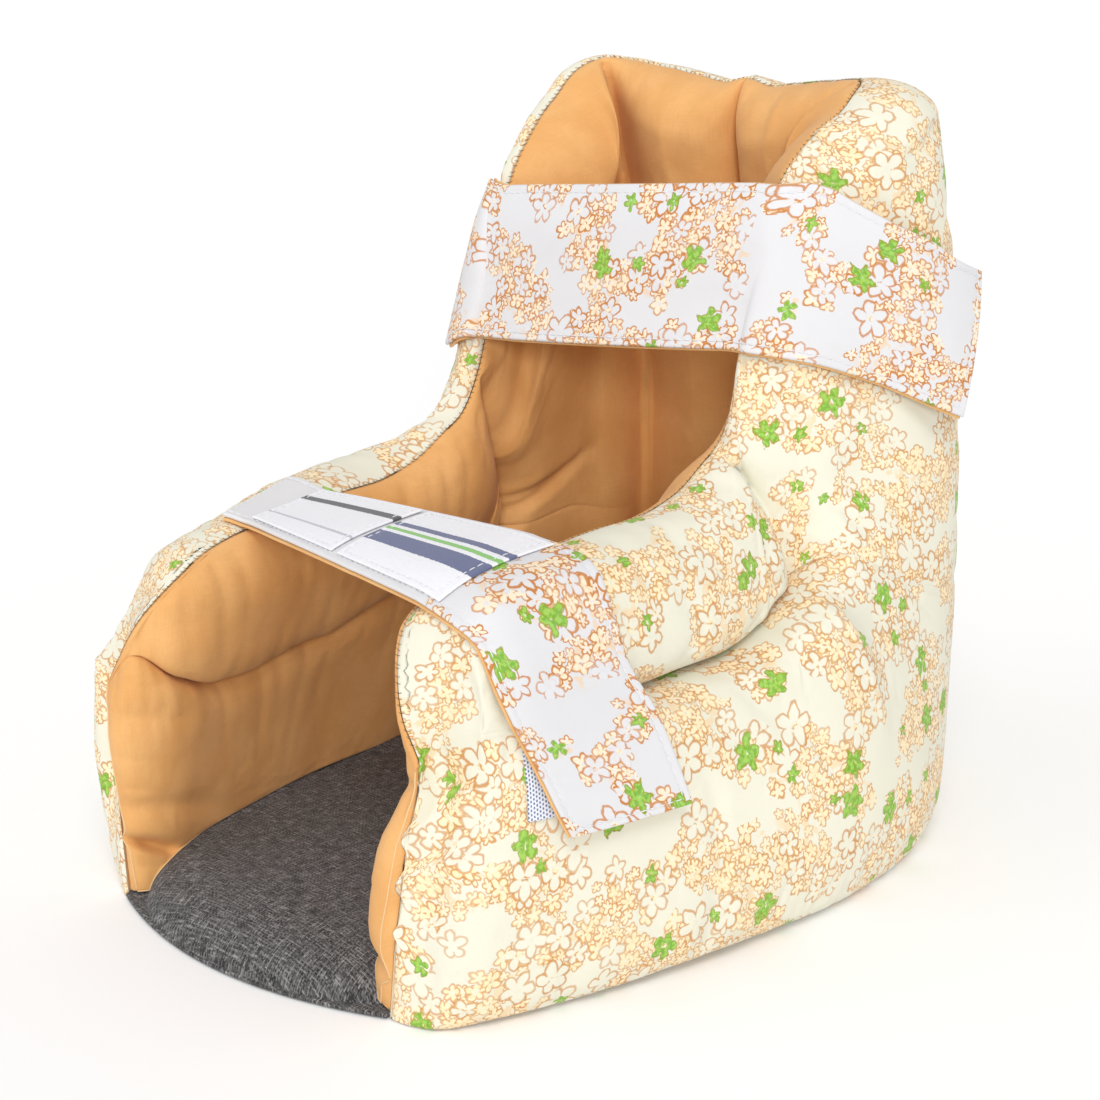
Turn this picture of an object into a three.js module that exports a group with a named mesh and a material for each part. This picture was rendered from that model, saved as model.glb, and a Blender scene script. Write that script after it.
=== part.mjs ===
// Padded heel cushion in the form of an open-toed boot, in millimetres.
// +Z is up, the toe opening faces -Y and the leg opening faces up. The near
// side of the boot is +X and the far side is -X. The origin lies on the floor
// under the middle of the boot.
//
// Both walls are quilted pads: a flowered shell outside and a plain lining
// inside, sewn together along the rim and through both at the quilting seams.
// A wall is drawn on its middle sheet. "at" runs along the wall from the
// centre of the back (0) to the toe edge (1), and "up" runs from the floor (0)
// to the rim (1). Shell and lining swell away from that sheet to either side.
import * as THREE from 'three';

// Whole boot: the middle of its length, and the play between pieces
const LENGTH_SHIFT = -7.5;
const GAP = 0.3;
const HALF_GAP = GAP / 2;

// Cloth left at the sewn rim on each side of the middle sheet
const HEM = 1.4;

// Stations of the wall, from the centre of the back to the toe edge.
// rim: where the shell meets the lining. foot: where the wall meets the floor.
// bow: outward belly of the middle sheet. shellLow, shellHigh, liningLow and
// liningHigh: filling below and above the side seam. seam: height of the side
// seam as a share of the wall. round: how soon the pad closes at the rim.
const STATION_COLUMNS = [
  'at', 'rimX', 'rimY', 'rimZ', 'footX', 'footY', 'bow',
  'shellLow', 'shellHigh', 'liningLow', 'liningHigh', 'seam', 'round',
];
const STATIONS = [
  [0.00, 0, 121, 268, 0, 142, 8, 22, 24, 18, 20, 0.34, 15],
  [0.10, 34, 119, 271, 42, 137, 8, 22, 24, 18, 24, 0.34, 15],
  [0.20, 61, 108, 276, 75, 112, 9, 23, 24, 16, 28, 0.34, 16],
  [0.26, 67, 93, 270, 85, 94, 10, 26, 19, 16, 31, 0.35, 18],
  [0.32, 66, 74, 256, 91, 72, 10, 29, 12, 16, 31, 0.36, 22],
  [0.40, 64, 56, 236, 95, 46, 9, 31, 6, 16, 28, 0.40, 26],
  [0.50, 62, 44, 190, 97, 18, 8, 32, 8, 15, 25, 0.49, 28],
  [0.58, 63, 33, 158, 96, -4, 6, 32, 18, 15, 22, 0.59, 26],
  [0.66, 64, 6, 139, 94, -30, 5, 31, 24, 14, 20, 0.63, 24],
  [0.76, 62, -48, 133, 88, -64, 5, 29, 26, 13, 18, 0.65, 22],
  [0.86, 58, -96, 129, 79, -99, 4, 27, 27, 12, 13, 0.68, 19],
  [0.92, 57, -119, 120, 73, -119, 3, 25, 27, 12, 8, 0.74, 16],
  [0.96, 64, -131, 104, 69, -129, 2, 24, 26, 12, 5, 0.83, 15],
  [1.00, 73, -135, 84, 67, -136, 1, 22, 21, 12, 4, 0.94, 14],
];

// Quilting seams: reach of the pinch to either side, and its depth as a share
// of the filling, in the shell and in the lining
const SEAM_REACH = 18;
const SIDE_SEAM = { shell: 0.65, lining: 0.82, softFrom: 0.30, fullFrom: 0.56 };
const SIDE_SEAM_TOE = { from: 0.72, to: 0.90, eased: 0.7 };
const BACK_SIDE_SEAM = { shell: 0.05, lining: 0.16 };
const ANKLE_SEAM = { rimAt: 0.63, lowAt: 0.47, shell: 0.50, lining: 0.80 };
const CHANNEL_SEAM = { topAt: 0.13, lowAt: 0.09, lining: 0.85 };
const BACK_SEAM = { shell: 0.18, lining: 0.70 };
const TOE_EDGE = { shell: 0.10, lining: 0.20, shellReach: 22, liningReach: 20 };
const FLOOR_EDGE = { shell: 0.66, lining: 0.85, reach: 25 };
const LINING_ROUND_EXTRA = 4;

// Foot bed: a flat pad whose front runs out to a rounded edge past the walls
const SOLE_THICK = 15;
const SOLE_CROWN = 2.5;
const SOLE_CROWN_REACH = 0.75;
const SOLE_CROWN_BACK = { from: 30, to: 95 };
const SOLE_INSET = 0.5;
const SOLE_FRONT_Y = -137;
const SOLE_FRONT_BULGE = 15;
const SOLE_FRONT_RAMP = 30;
const SOLE_EDGE_THICK = 1.6;
const SOLE_BACK_AT = 0.03;

// Grid of each wall pad, and of the other pieces
const WALL_COLUMNS = 28;
const LOW_ROWS = 10;
const HIGH_ROWS = 10;

// Straps: two cloths each, flowered on top and plain beneath
const STRAP_FACING = 1.0;
const STRAP_CLOTH = 1.6;
const STRAP_LEVELS = 5;

// Route of the upper strap from the sewn far end to the loose near end.
// side: -1 far wall, +1 near wall. at: place of its centre line along the
// wall. slant: how far its width follows the slope of the front rim, 1 at the
// front and 0 where it stands upright. middle: height of the centre line.
// tall: height it covers there. lift: clearance to the shell.
const UPPER_STRAP_ROUTE = [
  { side: -1, at: 0.270, slant: 0.6, middle: 199, tall: 58, lift: 1.5 },
  { side: -1, at: 0.320, slant: 0.7, middle: 200, tall: 59, lift: 1.5 },
  { side: -1, at: 0.370, slant: 0.8, middle: 202, tall: 60, lift: 1.5 },
  { side: -1, at: 0.405, slant: 0.9, middle: 204, tall: 60, lift: 1.5 },
  { side: -1, at: 0.435, slant: 1.0, middle: 207, tall: 59, lift: 1.8 },
  { side: 1, at: 0.430, slant: 1.0, middle: 211, tall: 58, lift: 2.4 },
  { side: 1, at: 0.395, slant: 0.9, middle: 210, tall: 57, lift: 2.2 },
  { side: 1, at: 0.360, slant: 0.7, middle: 207, tall: 56, lift: 2.2 },
  { side: 1, at: 0.320, slant: 0.6, middle: 202, tall: 54, lift: 2.4 },
  { side: 1, at: 0.285, slant: 0.5, middle: 197, tall: 52, lift: 3.2 },
  { side: 1, at: 0.257, slant: 0.4, middle: 190, tall: 50, lift: 5.5 },
  { side: 1, at: 0.234, slant: 0.4, middle: 184, tall: 49, lift: 9.0 },
];
const UPPER_STRAP_RIM_LIFT = { out: 5.0, forward: 4.5 };
const UPPER_STRAP_ARCH = 4;
const UPPER_STRAP_SPAN_STEPS = 5;

// Route of the lower strap over the near wall, from the rim down. It leaves
// the rim at places given by "up", then goes down to heights z.
// frontAt and rearAt: the strap's two edges along the wall.
const LOWER_STRAP_FAR = { frontAt: 0.835, rearAt: 0.75, lift: 2.2 };
const LOWER_STRAP_CREST = [
  { up: 1.00, frontAt: 0.905, rearAt: 0.785, lift: 3.0 },
  { up: 0.93, frontAt: 0.903, rearAt: 0.784, lift: 3.4 },
];
const LOWER_STRAP_DROP = [
  { z: 118, frontAt: 0.898, rearAt: 0.780, lift: 2.4 },
  { z: 104, frontAt: 0.890, rearAt: 0.771, lift: 2.6 },
  { z: 88, frontAt: 0.872, rearAt: 0.752, lift: 3.2 },
  { z: 73, frontAt: 0.853, rearAt: 0.740, lift: 3.8 },
  { z: 60, frontAt: 0.836, rearAt: 0.730, lift: 4.4 },
];
const LOWER_STRAP_SPAN_STEPS = 5;
const LOWER_STRAP_HUMP = 3;
const SEAM_BRIDGE = { top: 106, bottom: 66 };

// Woven labels on the lower strap, as shares of its length and width
const LABEL_THICK = 0.9;
const LABELS = [
  { name: 'label_far', from: 0.045, to: 0.225, left: 0.07, right: 0.93 },
  { name: 'label_near', from: 0.24, to: 0.475, left: 0.07, right: 0.93 },
];

// The filled boot leans a little: the front of its near side stands higher
// than the front of its far side
const LEAN = { rise: 5.5, halfWidth: 60, fromZ: 30, toZ: 130, fromY: 50, toY: 110 };

// Hook tape under the loose end of the lower strap
const HOOK_TAPE = { top: 94, bottom: 66, frontAt: 0.876, rearAt: 0.846, thick: 0.8 };

// Colours and finishes
const FINISH = {
  print: { color: 0xf2ecdc, roughness: 0.85, metalness: 0 },
  lining: { color: 0xd9a063, roughness: 0.8, metalness: 0 },
  sole: { color: 0x55535a, roughness: 0.95, metalness: 0 },
  strap: { color: 0xeeeef0, roughness: 0.8, metalness: 0 },
  label: { color: 0xf4f4f6, roughness: 0.5, metalness: 0 },
  hook: { color: 0xdfe4ee, roughness: 0.7, metalness: 0 },
};

const clamp = THREE.MathUtils.clamp;
const lerp = THREE.MathUtils.lerp;
const smooth = THREE.MathUtils.smoothstep;

// Smooth value of one station column anywhere along the wall
function along(column, at) {
  const k = STATION_COLUMNS.indexOf(column);
  const x = STATIONS.map((row) => row[0]);
  const y = STATIONS.map((row) => row[k]);
  const last = x.length - 1;
  const rise = (i) => (y[i + 1] - y[i]) / (x[i + 1] - x[i]);
  const slope = (i) => {
    if (i === last) return rise(last - 1);
    if (i === 0) return column === 'rimX' || column === 'footX' ? rise(0) : 0;
    const before = x[i] - x[i - 1];
    const after = x[i + 1] - x[i];
    return (rise(i) * before + rise(i - 1) * after) / (before + after);
  };
  let i = 0;
  while (i < last - 1 && at > x[i + 1]) i += 1;
  const h = x[i + 1] - x[i];
  const t = (at - x[i]) / h;
  const t2 = t * t;
  const t3 = t2 * t;
  return (2 * t3 - 3 * t2 + 1) * y[i] + (t3 - 2 * t2 + t) * h * slope(i)
    + (3 * t2 - 2 * t3) * y[i + 1] + (t3 - t2) * h * slope(i + 1);
}

// Level direction pointing out of the boot at a station of the floor line
function outward(at) {
  const step = 0.01;
  const a = clamp(at - step, 0, 1);
  const b = clamp(at + step, 0, 1);
  const dx = along('footX', b) - along('footX', a);
  const dy = along('footY', b) - along('footY', a);
  return new THREE.Vector3(-dy, dx, 0).normalize();
}

// Point of the middle sheet of the near wall
function middle(at, up) {
  const foot = new THREE.Vector3(along('footX', at), along('footY', at), 0);
  const rim = new THREE.Vector3(along('rimX', at), along('rimY', at), along('rimZ', at));
  const belly = 4 * up * (1 - up) * along('bow', at);
  return foot.lerp(rim, up).addScaledVector(outward(at), belly);
}

// Direction out of the boot, square to the middle sheet
function square(at, up) {
  const step = 0.015;
  const a0 = clamp(at - step, 0, 1);
  const a1 = clamp(at + step, 0, 1);
  const b0 = clamp(up - step, 0, 1);
  const b1 = clamp(up + step, 0, 1);
  const lengthways = middle(a1, up).sub(middle(a0, up));
  const upwards = middle(at, b1).sub(middle(at, b0));
  return upwards.cross(lengthways).normalize();
}

// Quarter-round rise of a pad from an edge or seam, 0 at it and 1 at its reach
function dome(distance, reach) {
  const t = clamp(distance / reach, 0, 1);
  return Math.sqrt(1 - (1 - t) * (1 - t));
}

// Lines on the middle sheet that hold the filling down
function sheetLine(count, place) {
  const points = [];
  for (let i = 0; i <= count; i += 1) points.push(middle(...place(i / count)));
  return points;
}
const RIM_LINE = sheetLine(80, (t) => [t, 1]);
const TOE_LINE = sheetLine(20, (t) => [1, t]);
const BACK_LINE = sheetLine(20, (t) => [0, t]);
const CHANNEL_LINE = sheetLine(24, (t) => [lerp(CHANNEL_SEAM.lowAt, CHANNEL_SEAM.topAt, t), t]);
const ANKLE_LINE = sheetLine(24, (t) => {
  const turn = t * Math.PI / 2;
  const lowUp = along('seam', ANKLE_SEAM.lowAt);
  return [
    lerp(ANKLE_SEAM.rimAt, ANKLE_SEAM.lowAt, Math.sin(turn)),
    lerp(1, lowUp, 1 - Math.cos(turn)),
  ];
});

// Shortest distance from a point to one of these lines
function distanceTo(line, point) {
  const segment = new THREE.Line3();
  const nearest = new THREE.Vector3();
  let best = Infinity;
  for (let i = 0; i + 1 < line.length; i += 1) {
    segment.set(line[i], line[i + 1]);
    segment.closestPointToPoint(point, true, nearest);
    best = Math.min(best, nearest.distanceTo(point));
  }
  return best;
}

// Filling of the shell or the lining, measured from the middle sheet
function filling(cloth, at, up) {
  const point = middle(at, up);
  const seamUp = along('seam', at);
  const full = smooth(at, SIDE_SEAM.softFrom, SIDE_SEAM.fullFrom);
  const blend = lerp(0.30, 0.07, full);
  const high = smooth(up - seamUp, -blend, blend);
  const aboveSeam = smooth(up - seamUp, -0.02, 0.10);
  const pinch = (depth, distance, reach) => 1 - depth * (1 - dome(distance, reach));
  const toSeam = point.distanceTo(middle(at, seamUp));
  const toRim = distanceTo(RIM_LINE, point);
  const round = along('round', at) + (cloth === 'lining' ? LINING_ROUND_EXTRA : 0);
  let depth = lerp(BACK_SIDE_SEAM[cloth], SIDE_SEAM[cloth], full);
  if (cloth === 'shell') {
    depth *= 1 - SIDE_SEAM_TOE.eased * smooth(at, SIDE_SEAM_TOE.from, SIDE_SEAM_TOE.to);
  }
  let ankle = ANKLE_SEAM[cloth] * aboveSeam;
  if (cloth === 'shell') ankle *= smooth(1 - up, 0, 0.25);
  let fill = lerp(along(`${cloth}Low`, at), along(`${cloth}High`, at), high);
  fill *= dome(toRim, round);
  fill *= pinch(1 - TOE_EDGE[cloth], distanceTo(TOE_LINE, point), TOE_EDGE[`${cloth}Reach`]);
  fill *= pinch(depth, toSeam, SEAM_REACH);
  fill *= pinch(ankle, distanceTo(ANKLE_LINE, point), SEAM_REACH - 2);
  const floor = cloth === 'lining' ? SOLE_THICK : 0;
  fill *= pinch(1 - FLOOR_EDGE[cloth], point.z - floor, FLOOR_EDGE.reach);
  fill *= pinch(BACK_SEAM[cloth], distanceTo(BACK_LINE, point), SEAM_REACH - 3);
  if (cloth === 'lining') {
    fill *= pinch(CHANNEL_SEAM.lining, distanceTo(CHANNEL_LINE, point), SEAM_REACH);
  }
  return fill;
}

// Visible face of the near wall: the shell's or the lining's
function face(cloth, at, up) {
  const sign = cloth === 'shell' ? 1 : -1;
  const out = sign * (HEM + filling(cloth, at, up));
  const point = middle(at, up).addScaledVector(square(at, up), out);
  return aboveFloor(cloth, point);
}

// Keeps a pad on its own side of the back seam and above what it stands on
function aboveFloor(cloth, point) {
  const floor = cloth === 'shell' ? 0 : soleTop(point.x, point.y) + 2 * GAP;
  point.x = Math.max(point.x, HALF_GAP);
  point.z = Math.max(point.z, floor);
  return point;
}

// Hidden face of the shell or the lining, next to the middle sheet
function hiddenFace(cloth, at, up) {
  const sign = cloth === 'shell' ? 1 : -1;
  const point = middle(at, up).addScaledVector(square(at, up), sign * HALF_GAP);
  return aboveFloor(cloth, point);
}

// Height of a wall row: rows follow the side seam and close up near the rim
function rowUp(at, row, lowest) {
  const seamUp = along('seam', at);
  const ease = (t) => 0.5 * t + 0.25 * (1 - Math.cos(Math.PI * t));
  if (row <= LOW_ROWS) return lerp(lowest, seamUp, ease(row / LOW_ROWS));
  return lerp(seamUp, 1, ease((row - LOW_ROWS) / HIGH_ROWS));
}

// Closed body between two grids of points of the same size
function closedPad(front, back) {
  const columns = front.length;
  const rows = front[0].length;
  const positions = [];
  for (const grid of [front, back]) {
    for (const column of grid) {
      for (const point of column) positions.push(point.x, point.y, point.z);
    }
  }
  const layer = columns * rows;
  const id = (side, i, j) => side * layer + i * rows + j;
  const index = [];
  const quad = (a, b, c, d) => index.push(a, b, c, a, c, d);
  for (let i = 0; i + 1 < columns; i += 1) {
    for (let j = 0; j + 1 < rows; j += 1) {
      quad(id(0, i, j), id(0, i + 1, j), id(0, i + 1, j + 1), id(0, i, j + 1));
      quad(id(1, i, j), id(1, i, j + 1), id(1, i + 1, j + 1), id(1, i + 1, j));
    }
    quad(id(0, i, 0), id(1, i, 0), id(1, i + 1, 0), id(0, i + 1, 0));
    const top = rows - 1;
    quad(id(0, i, top), id(0, i + 1, top), id(1, i + 1, top), id(1, i, top));
  }
  const end = columns - 1;
  for (let j = 0; j + 1 < rows; j += 1) {
    quad(id(0, 0, j), id(0, 0, j + 1), id(1, 0, j + 1), id(1, 0, j));
    quad(id(0, end, j), id(1, end, j), id(1, end, j + 1), id(0, end, j + 1));
  }
  const geometry = new THREE.BufferGeometry();
  geometry.setAttribute('position', new THREE.Float32BufferAttribute(positions, 3));
  geometry.setIndex(index);
  return facingOut(geometry);
}

// Turns every face over where the body came out inside out
function facingOut(geometry) {
  const position = geometry.getAttribute('position');
  const index = geometry.getIndex();
  const corner = (k) => new THREE.Vector3().fromBufferAttribute(position, index.getX(k));
  let volume = 0;
  for (let k = 0; k < index.count; k += 3) {
    volume += corner(k).dot(corner(k + 1).cross(corner(k + 2)));
  }
  if (volume < 0) {
    for (let k = 0; k < index.count; k += 3) {
      const kept = index.getX(k);
      index.setX(k, index.getX(k + 1));
      index.setX(k + 1, kept);
    }
  }
  geometry.computeVertexNormals();
  return geometry;
}

// The far side is the near side seen in a mirror
function mirrored(point, side) {
  return new THREE.Vector3(point.x * side, point.y, point.z);
}

// Lean of the whole boot, worked into each piece's points
function leaned(geometry) {
  const position = geometry.getAttribute('position');
  for (let k = 0; k < position.count; k += 1) {
    const side = clamp(position.getX(k) / LEAN.halfWidth, -1, 1);
    const high = smooth(position.getZ(k), LEAN.fromZ, LEAN.toZ);
    const front = 1 - smooth(position.getY(k), LEAN.fromY, LEAN.toY);
    position.setZ(k, position.getZ(k) + LEAN.rise * side * high * front);
  }
  return geometry;
}

function piece(name, geometry, finish) {
  leaned(geometry);
  const mesh = new THREE.Mesh(geometry, new THREE.MeshStandardMaterial(FINISH[finish]));
  mesh.name = name;
  mesh.position.y = LENGTH_SHIFT;
  return mesh;
}

// Height of the foot bed under the edge of a wall
function soleTop(x, y) {
  const halfWidth = along('footX', 1);
  const share = clamp(Math.abs(x) / halfWidth, 0, 1);
  const frontY = SOLE_FRONT_Y - SOLE_FRONT_BULGE * (1 - share * share);
  return Math.max(SOLE_EDGE_THICK, SOLE_THICK * dome(y - frontY, SOLE_FRONT_RAMP));
}

// One wall pad of one side: the shell from the floor up, or the lining from
// the foot bed up
function wallPad(cloth, side) {
  const front = [];
  const back = [];
  for (let i = 0; i < WALL_COLUMNS; i += 1) {
    const t = i / (WALL_COLUMNS - 1);
    const at = lerp(t, Math.sin(t * Math.PI / 2), 0.4);
    const bed = soleTop(along('footX', at), along('footY', at)) + 2 * GAP;
    const lowest = cloth === 'shell' ? 0 : bed / along('rimZ', at);
    const frontColumn = [];
    const backColumn = [];
    for (let row = 0; row <= LOW_ROWS + HIGH_ROWS; row += 1) {
      const up = rowUp(at, row, lowest);
      frontColumn.push(mirrored(face(cloth, at, up), side));
      backColumn.push(mirrored(hiddenFace(cloth, at, up), side));
    }
    front.push(frontColumn);
    back.push(backColumn);
  }
  return closedPad(front, back);
}

// Foot bed: rows across the boot from the heel to the toe, then the front edge.
// Its sides lean with the walls.
function solePad() {
  const across = [-1, -0.9, -0.7, -0.4, 0, 0.4, 0.7, 0.9, 1];
  const rows = 17;
  const frontRows = 5;
  const top = [];
  const bottom = [];
  for (let i = 0; i < rows + frontRows; i += 1) {
    const at = lerp(SOLE_BACK_AT, 1, Math.min(i / (rows - 1), 1));
    const foot = middle(at, 0).addScaledVector(outward(at), -SOLE_INSET);
    const bedUp = soleTop(foot.x, foot.y) / along('rimZ', at);
    const bed = middle(at, bedUp).addScaledVector(outward(at), -SOLE_INSET);
    const forward = Math.max(0, i - rows + 1) / frontRows;
    const topRow = [];
    const bottomRow = [];
    for (const share of across) {
      const frontY = SOLE_FRONT_Y - SOLE_FRONT_BULGE * (1 - share * share);
      const y = lerp(bed.y, frontY, forward);
      const crown = SOLE_CROWN * Math.max(0, 1 - (share / SOLE_CROWN_REACH) ** 2)
        * (1 - smooth(bed.y, SOLE_CROWN_BACK.from, SOLE_CROWN_BACK.to));
      const height = soleTop(share * bed.x, y);
      topRow.push(new THREE.Vector3(share * bed.x, y, height + crown * height / SOLE_THICK));
      bottomRow.push(new THREE.Vector3(share * foot.x, lerp(foot.y, frontY, forward), 0));
    }
    top.push(topRow);
    bottom.push(bottomRow);
  }
  return closedPad(top, bottom);
}

// Share along the wall where the front rim of the leg reaches a height
function frontRimAt(z) {
  let low = 0.22;
  let high = 0.9;
  for (let i = 0; i < 30; i += 1) {
    const half = (low + high) / 2;
    if (along('rimZ', half) > z) low = half;
    else high = half;
  }
  return low;
}

// Point of the near shell, lifted square off it
function offShell(at, up, lift) {
  const step = 0.01;
  const shell = (a, b) => face('shell', clamp(a, 0, 1), clamp(b, 0, 1));
  const lengthways = shell(at + step, up).sub(shell(at - step, up));
  const upwards = shell(at, up + step).sub(shell(at, up - step));
  return shell(at, up).addScaledVector(upwards.cross(lengthways).normalize(), lift);
}

// The same at a height of the shell's side
function onShell(at, z, lift) {
  let low = 0;
  let high = 1;
  for (let i = 0; i < 30; i += 1) {
    const half = (low + high) / 2;
    if (face('shell', at, half).z < z) low = half;
    else high = half;
  }
  return offShell(at, low, lift);
}

// Point just clear of the front rim of the leg at a height
function aheadOfRim(z) {
  const rim = middle(frontRimAt(z), 1);
  rim.x += UPPER_STRAP_RIM_LIFT.out;
  rim.y -= UPPER_STRAP_RIM_LIFT.forward;
  return rim;
}

// Control points of a strap's underside: one line of points for each level
// across its width
function upperStrapLines() {
  const lines = [];
  for (let level = 0; level < STRAP_LEVELS; level += 1) {
    const share = level / (STRAP_LEVELS - 1) - 0.5;
    const line = [];
    UPPER_STRAP_ROUTE.forEach((stop, k) => {
      const z = stop.middle + stop.tall * share;
      const at = stop.at + stop.slant * (frontRimAt(z) - frontRimAt(stop.middle));
      const point = mirrored(onShell(at, z, stop.lift), stop.side);
      const before = UPPER_STRAP_ROUTE[k - 1];
      if (before && before.side !== stop.side) {
        const start = mirrored(aheadOfRim(before.middle + before.tall * share), before.side);
        const end = mirrored(aheadOfRim(z), stop.side);
        for (let s = 0; s <= UPPER_STRAP_SPAN_STEPS; s += 1) {
          const t = s / UPPER_STRAP_SPAN_STEPS;
          const across = start.clone().lerp(end, t);
          across.y -= UPPER_STRAP_ARCH * 4 * t * (1 - t);
          line.push(across);
        }
      }
      line.push(point);
    });
    lines.push(line);
  }
  return lines;
}

// Where the lower strap crosses the side seam it bridges the dip
function overBridge(at, z, lift) {
  if (z >= SEAM_BRIDGE.top || z <= SEAM_BRIDGE.bottom) return onShell(at, z, lift);
  const t = (SEAM_BRIDGE.top - z) / (SEAM_BRIDGE.top - SEAM_BRIDGE.bottom);
  const above = onShell(at, SEAM_BRIDGE.top, lift);
  return above.lerp(onShell(at, SEAM_BRIDGE.bottom, lift), t);
}

function lowerStrapLines() {
  const lines = [];
  for (let level = 0; level < STRAP_LEVELS; level += 1) {
    const share = level / (STRAP_LEVELS - 1);
    const line = [];
    const farAt = lerp(LOWER_STRAP_FAR.frontAt, LOWER_STRAP_FAR.rearAt, share);
    const far = mirrored(middle(farAt, 1), -1);
    far.z += LOWER_STRAP_FAR.lift;
    far.x += 2;
    const rim = LOWER_STRAP_CREST[0];
    const near = middle(lerp(rim.frontAt, rim.rearAt, share), 1);
    near.z += rim.lift;
    for (let s = 0; s <= LOWER_STRAP_SPAN_STEPS; s += 1) {
      const t = s / LOWER_STRAP_SPAN_STEPS;
      const point = far.clone().lerp(near, t);
      point.z += LOWER_STRAP_HUMP * 4 * t * (1 - t);
      line.push(point);
    }
    for (const stop of LOWER_STRAP_CREST.slice(1)) {
      line.push(offShell(lerp(stop.frontAt, stop.rearAt, share), stop.up, stop.lift));
    }
    for (const stop of LOWER_STRAP_DROP) {
      line.push(overBridge(lerp(stop.frontAt, stop.rearAt, share), stop.z, stop.lift));
    }
    lines.push(line);
  }
  return lines;
}

// Smooth cloth through such lines: s runs along the strap, w across it
function strapSurface(lines) {
  const curves = lines.map((line) => new THREE.CatmullRomCurve3(line, false, 'centripetal'));
  const at = (s, w) => {
    const place = clamp(w, 0, 1) * (curves.length - 1);
    const k = Math.min(Math.floor(place), curves.length - 2);
    return curves[k].getPoint(s).lerp(curves[k + 1].getPoint(s), place - k);
  };
  const out = (s, w) => {
    const step = 0.004;
    const lengthways = at(clamp(s + step, 0, 1), w).sub(at(clamp(s - step, 0, 1), w));
    const across = at(s, clamp(w + 0.05, 0, 1)).sub(at(s, clamp(w - 0.05, 0, 1)));
    return lengthways.cross(across).normalize();
  };
  return { at, out };
}

// Strip of cloth on such a surface, between two distances above it
function strip(surface, steps, levels, low, high, from = 0, to = 1, left = 0, right = 1) {
  const bottom = [];
  const top = [];
  for (let i = 0; i <= steps; i += 1) {
    const s = lerp(from, to, i / steps);
    const bottomRow = [];
    const topRow = [];
    for (let j = 0; j <= levels; j += 1) {
      const w = lerp(left, right, j / levels);
      const normal = surface.out(s, w);
      bottomRow.push(surface.at(s, w).addScaledVector(normal, low));
      topRow.push(surface.at(s, w).addScaledVector(normal, high));
    }
    bottom.push(bottomRow);
    top.push(topRow);
  }
  return closedPad(top, bottom);
}

function upperStrap() {
  const surface = strapSurface(upperStrapLines());
  const low = STRAP_FACING + GAP;
  return [
    piece('upper_strap_facing', strip(surface, 44, 4, 0, STRAP_FACING), 'lining'),
    piece('upper_strap', strip(surface, 44, 4, low, low + STRAP_CLOTH), 'strap'),
  ];
}

function lowerStrap() {
  const surface = strapSurface(lowerStrapLines());
  const low = STRAP_FACING + GAP;
  const top = low + STRAP_CLOTH;
  const parts = [
    piece('lower_strap_facing', strip(surface, 26, 4, 0, STRAP_FACING), 'lining'),
    piece('lower_strap', strip(surface, 26, 4, low, top), 'strap'),
  ];
  for (const label of LABELS) {
    const body = strip(
      surface, 5, 4, top + GAP, top + GAP + LABEL_THICK,
      label.from, label.to, label.left, label.right,
    );
    parts.push(piece(label.name, body, 'label'));
  }
  return parts;
}

// Hook tape that shows past the front edge of the lower strap
function hookTape() {
  const inner = [];
  const outer = [];
  const steps = 4;
  for (let i = 0; i <= steps; i += 1) {
    const z = lerp(HOOK_TAPE.top, HOOK_TAPE.bottom, i / steps);
    const innerRow = [];
    const outerRow = [];
    for (const share of [0, 0.5, 1]) {
      const at = lerp(HOOK_TAPE.frontAt, HOOK_TAPE.rearAt, share);
      innerRow.push(overBridge(at, z, 2 * GAP));
      outerRow.push(overBridge(at, z, 2 * GAP + HOOK_TAPE.thick));
    }
    inner.push(innerRow);
    outer.push(outerRow);
  }
  return piece('lower_hook_tape', closedPad(outer, inner), 'hook');
}

const boot = new THREE.Group();
boot.name = 'heel_cushion';
for (const [side, word] of [[1, 'near'], [-1, 'far']]) {
  boot.add(piece(`shell_${word}`, wallPad('shell', side), 'print'));
  boot.add(piece(`lining_${word}`, wallPad('lining', side), 'lining'));
}
boot.add(piece('foot_bed', solePad(), 'sole'));
boot.add(...upperStrap());
boot.add(...lowerStrap());
boot.add(hookTape());

export default boot;
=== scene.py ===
# %% [markdown]
# # A padded heel boot
# The real thing is a quilted cotton boot that keeps a heel off the mattress. It has a flowered
# shell outside, a caramel lining inside, a charcoal foot bed and two flat straps that close on
# its near side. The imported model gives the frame: where each pad and strap lies, in metres.

import math

import bmesh
import bpy
import numpy as np
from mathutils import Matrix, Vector


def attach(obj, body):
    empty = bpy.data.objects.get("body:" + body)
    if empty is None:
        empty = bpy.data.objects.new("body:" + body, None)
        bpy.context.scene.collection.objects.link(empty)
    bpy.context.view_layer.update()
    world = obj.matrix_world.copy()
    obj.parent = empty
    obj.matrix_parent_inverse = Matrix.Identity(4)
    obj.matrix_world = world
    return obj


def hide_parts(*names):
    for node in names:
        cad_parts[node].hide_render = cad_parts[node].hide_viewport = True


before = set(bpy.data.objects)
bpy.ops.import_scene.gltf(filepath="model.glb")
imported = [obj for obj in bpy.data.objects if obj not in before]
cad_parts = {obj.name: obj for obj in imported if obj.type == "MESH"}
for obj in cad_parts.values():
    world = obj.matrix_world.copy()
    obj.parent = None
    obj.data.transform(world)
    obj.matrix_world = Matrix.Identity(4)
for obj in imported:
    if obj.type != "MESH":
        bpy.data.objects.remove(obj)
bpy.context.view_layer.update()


MM = 0.001

# %% [markdown]
# The camera comes first. It stands 43 degrees round from the toe and 17 degrees up, far enough
# for the mild perspective of a product photograph, so the near wall and the open front both show.

# %% Camera
CAMERA_AT = (0.59115, -0.63061, 0.37429)
CAMERA_LOOKS_AT = (0.00417, -0.00115, 0.11116)
CAMERA_LENS_MM = 81.16
SENSOR_MM = 36.0

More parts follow.
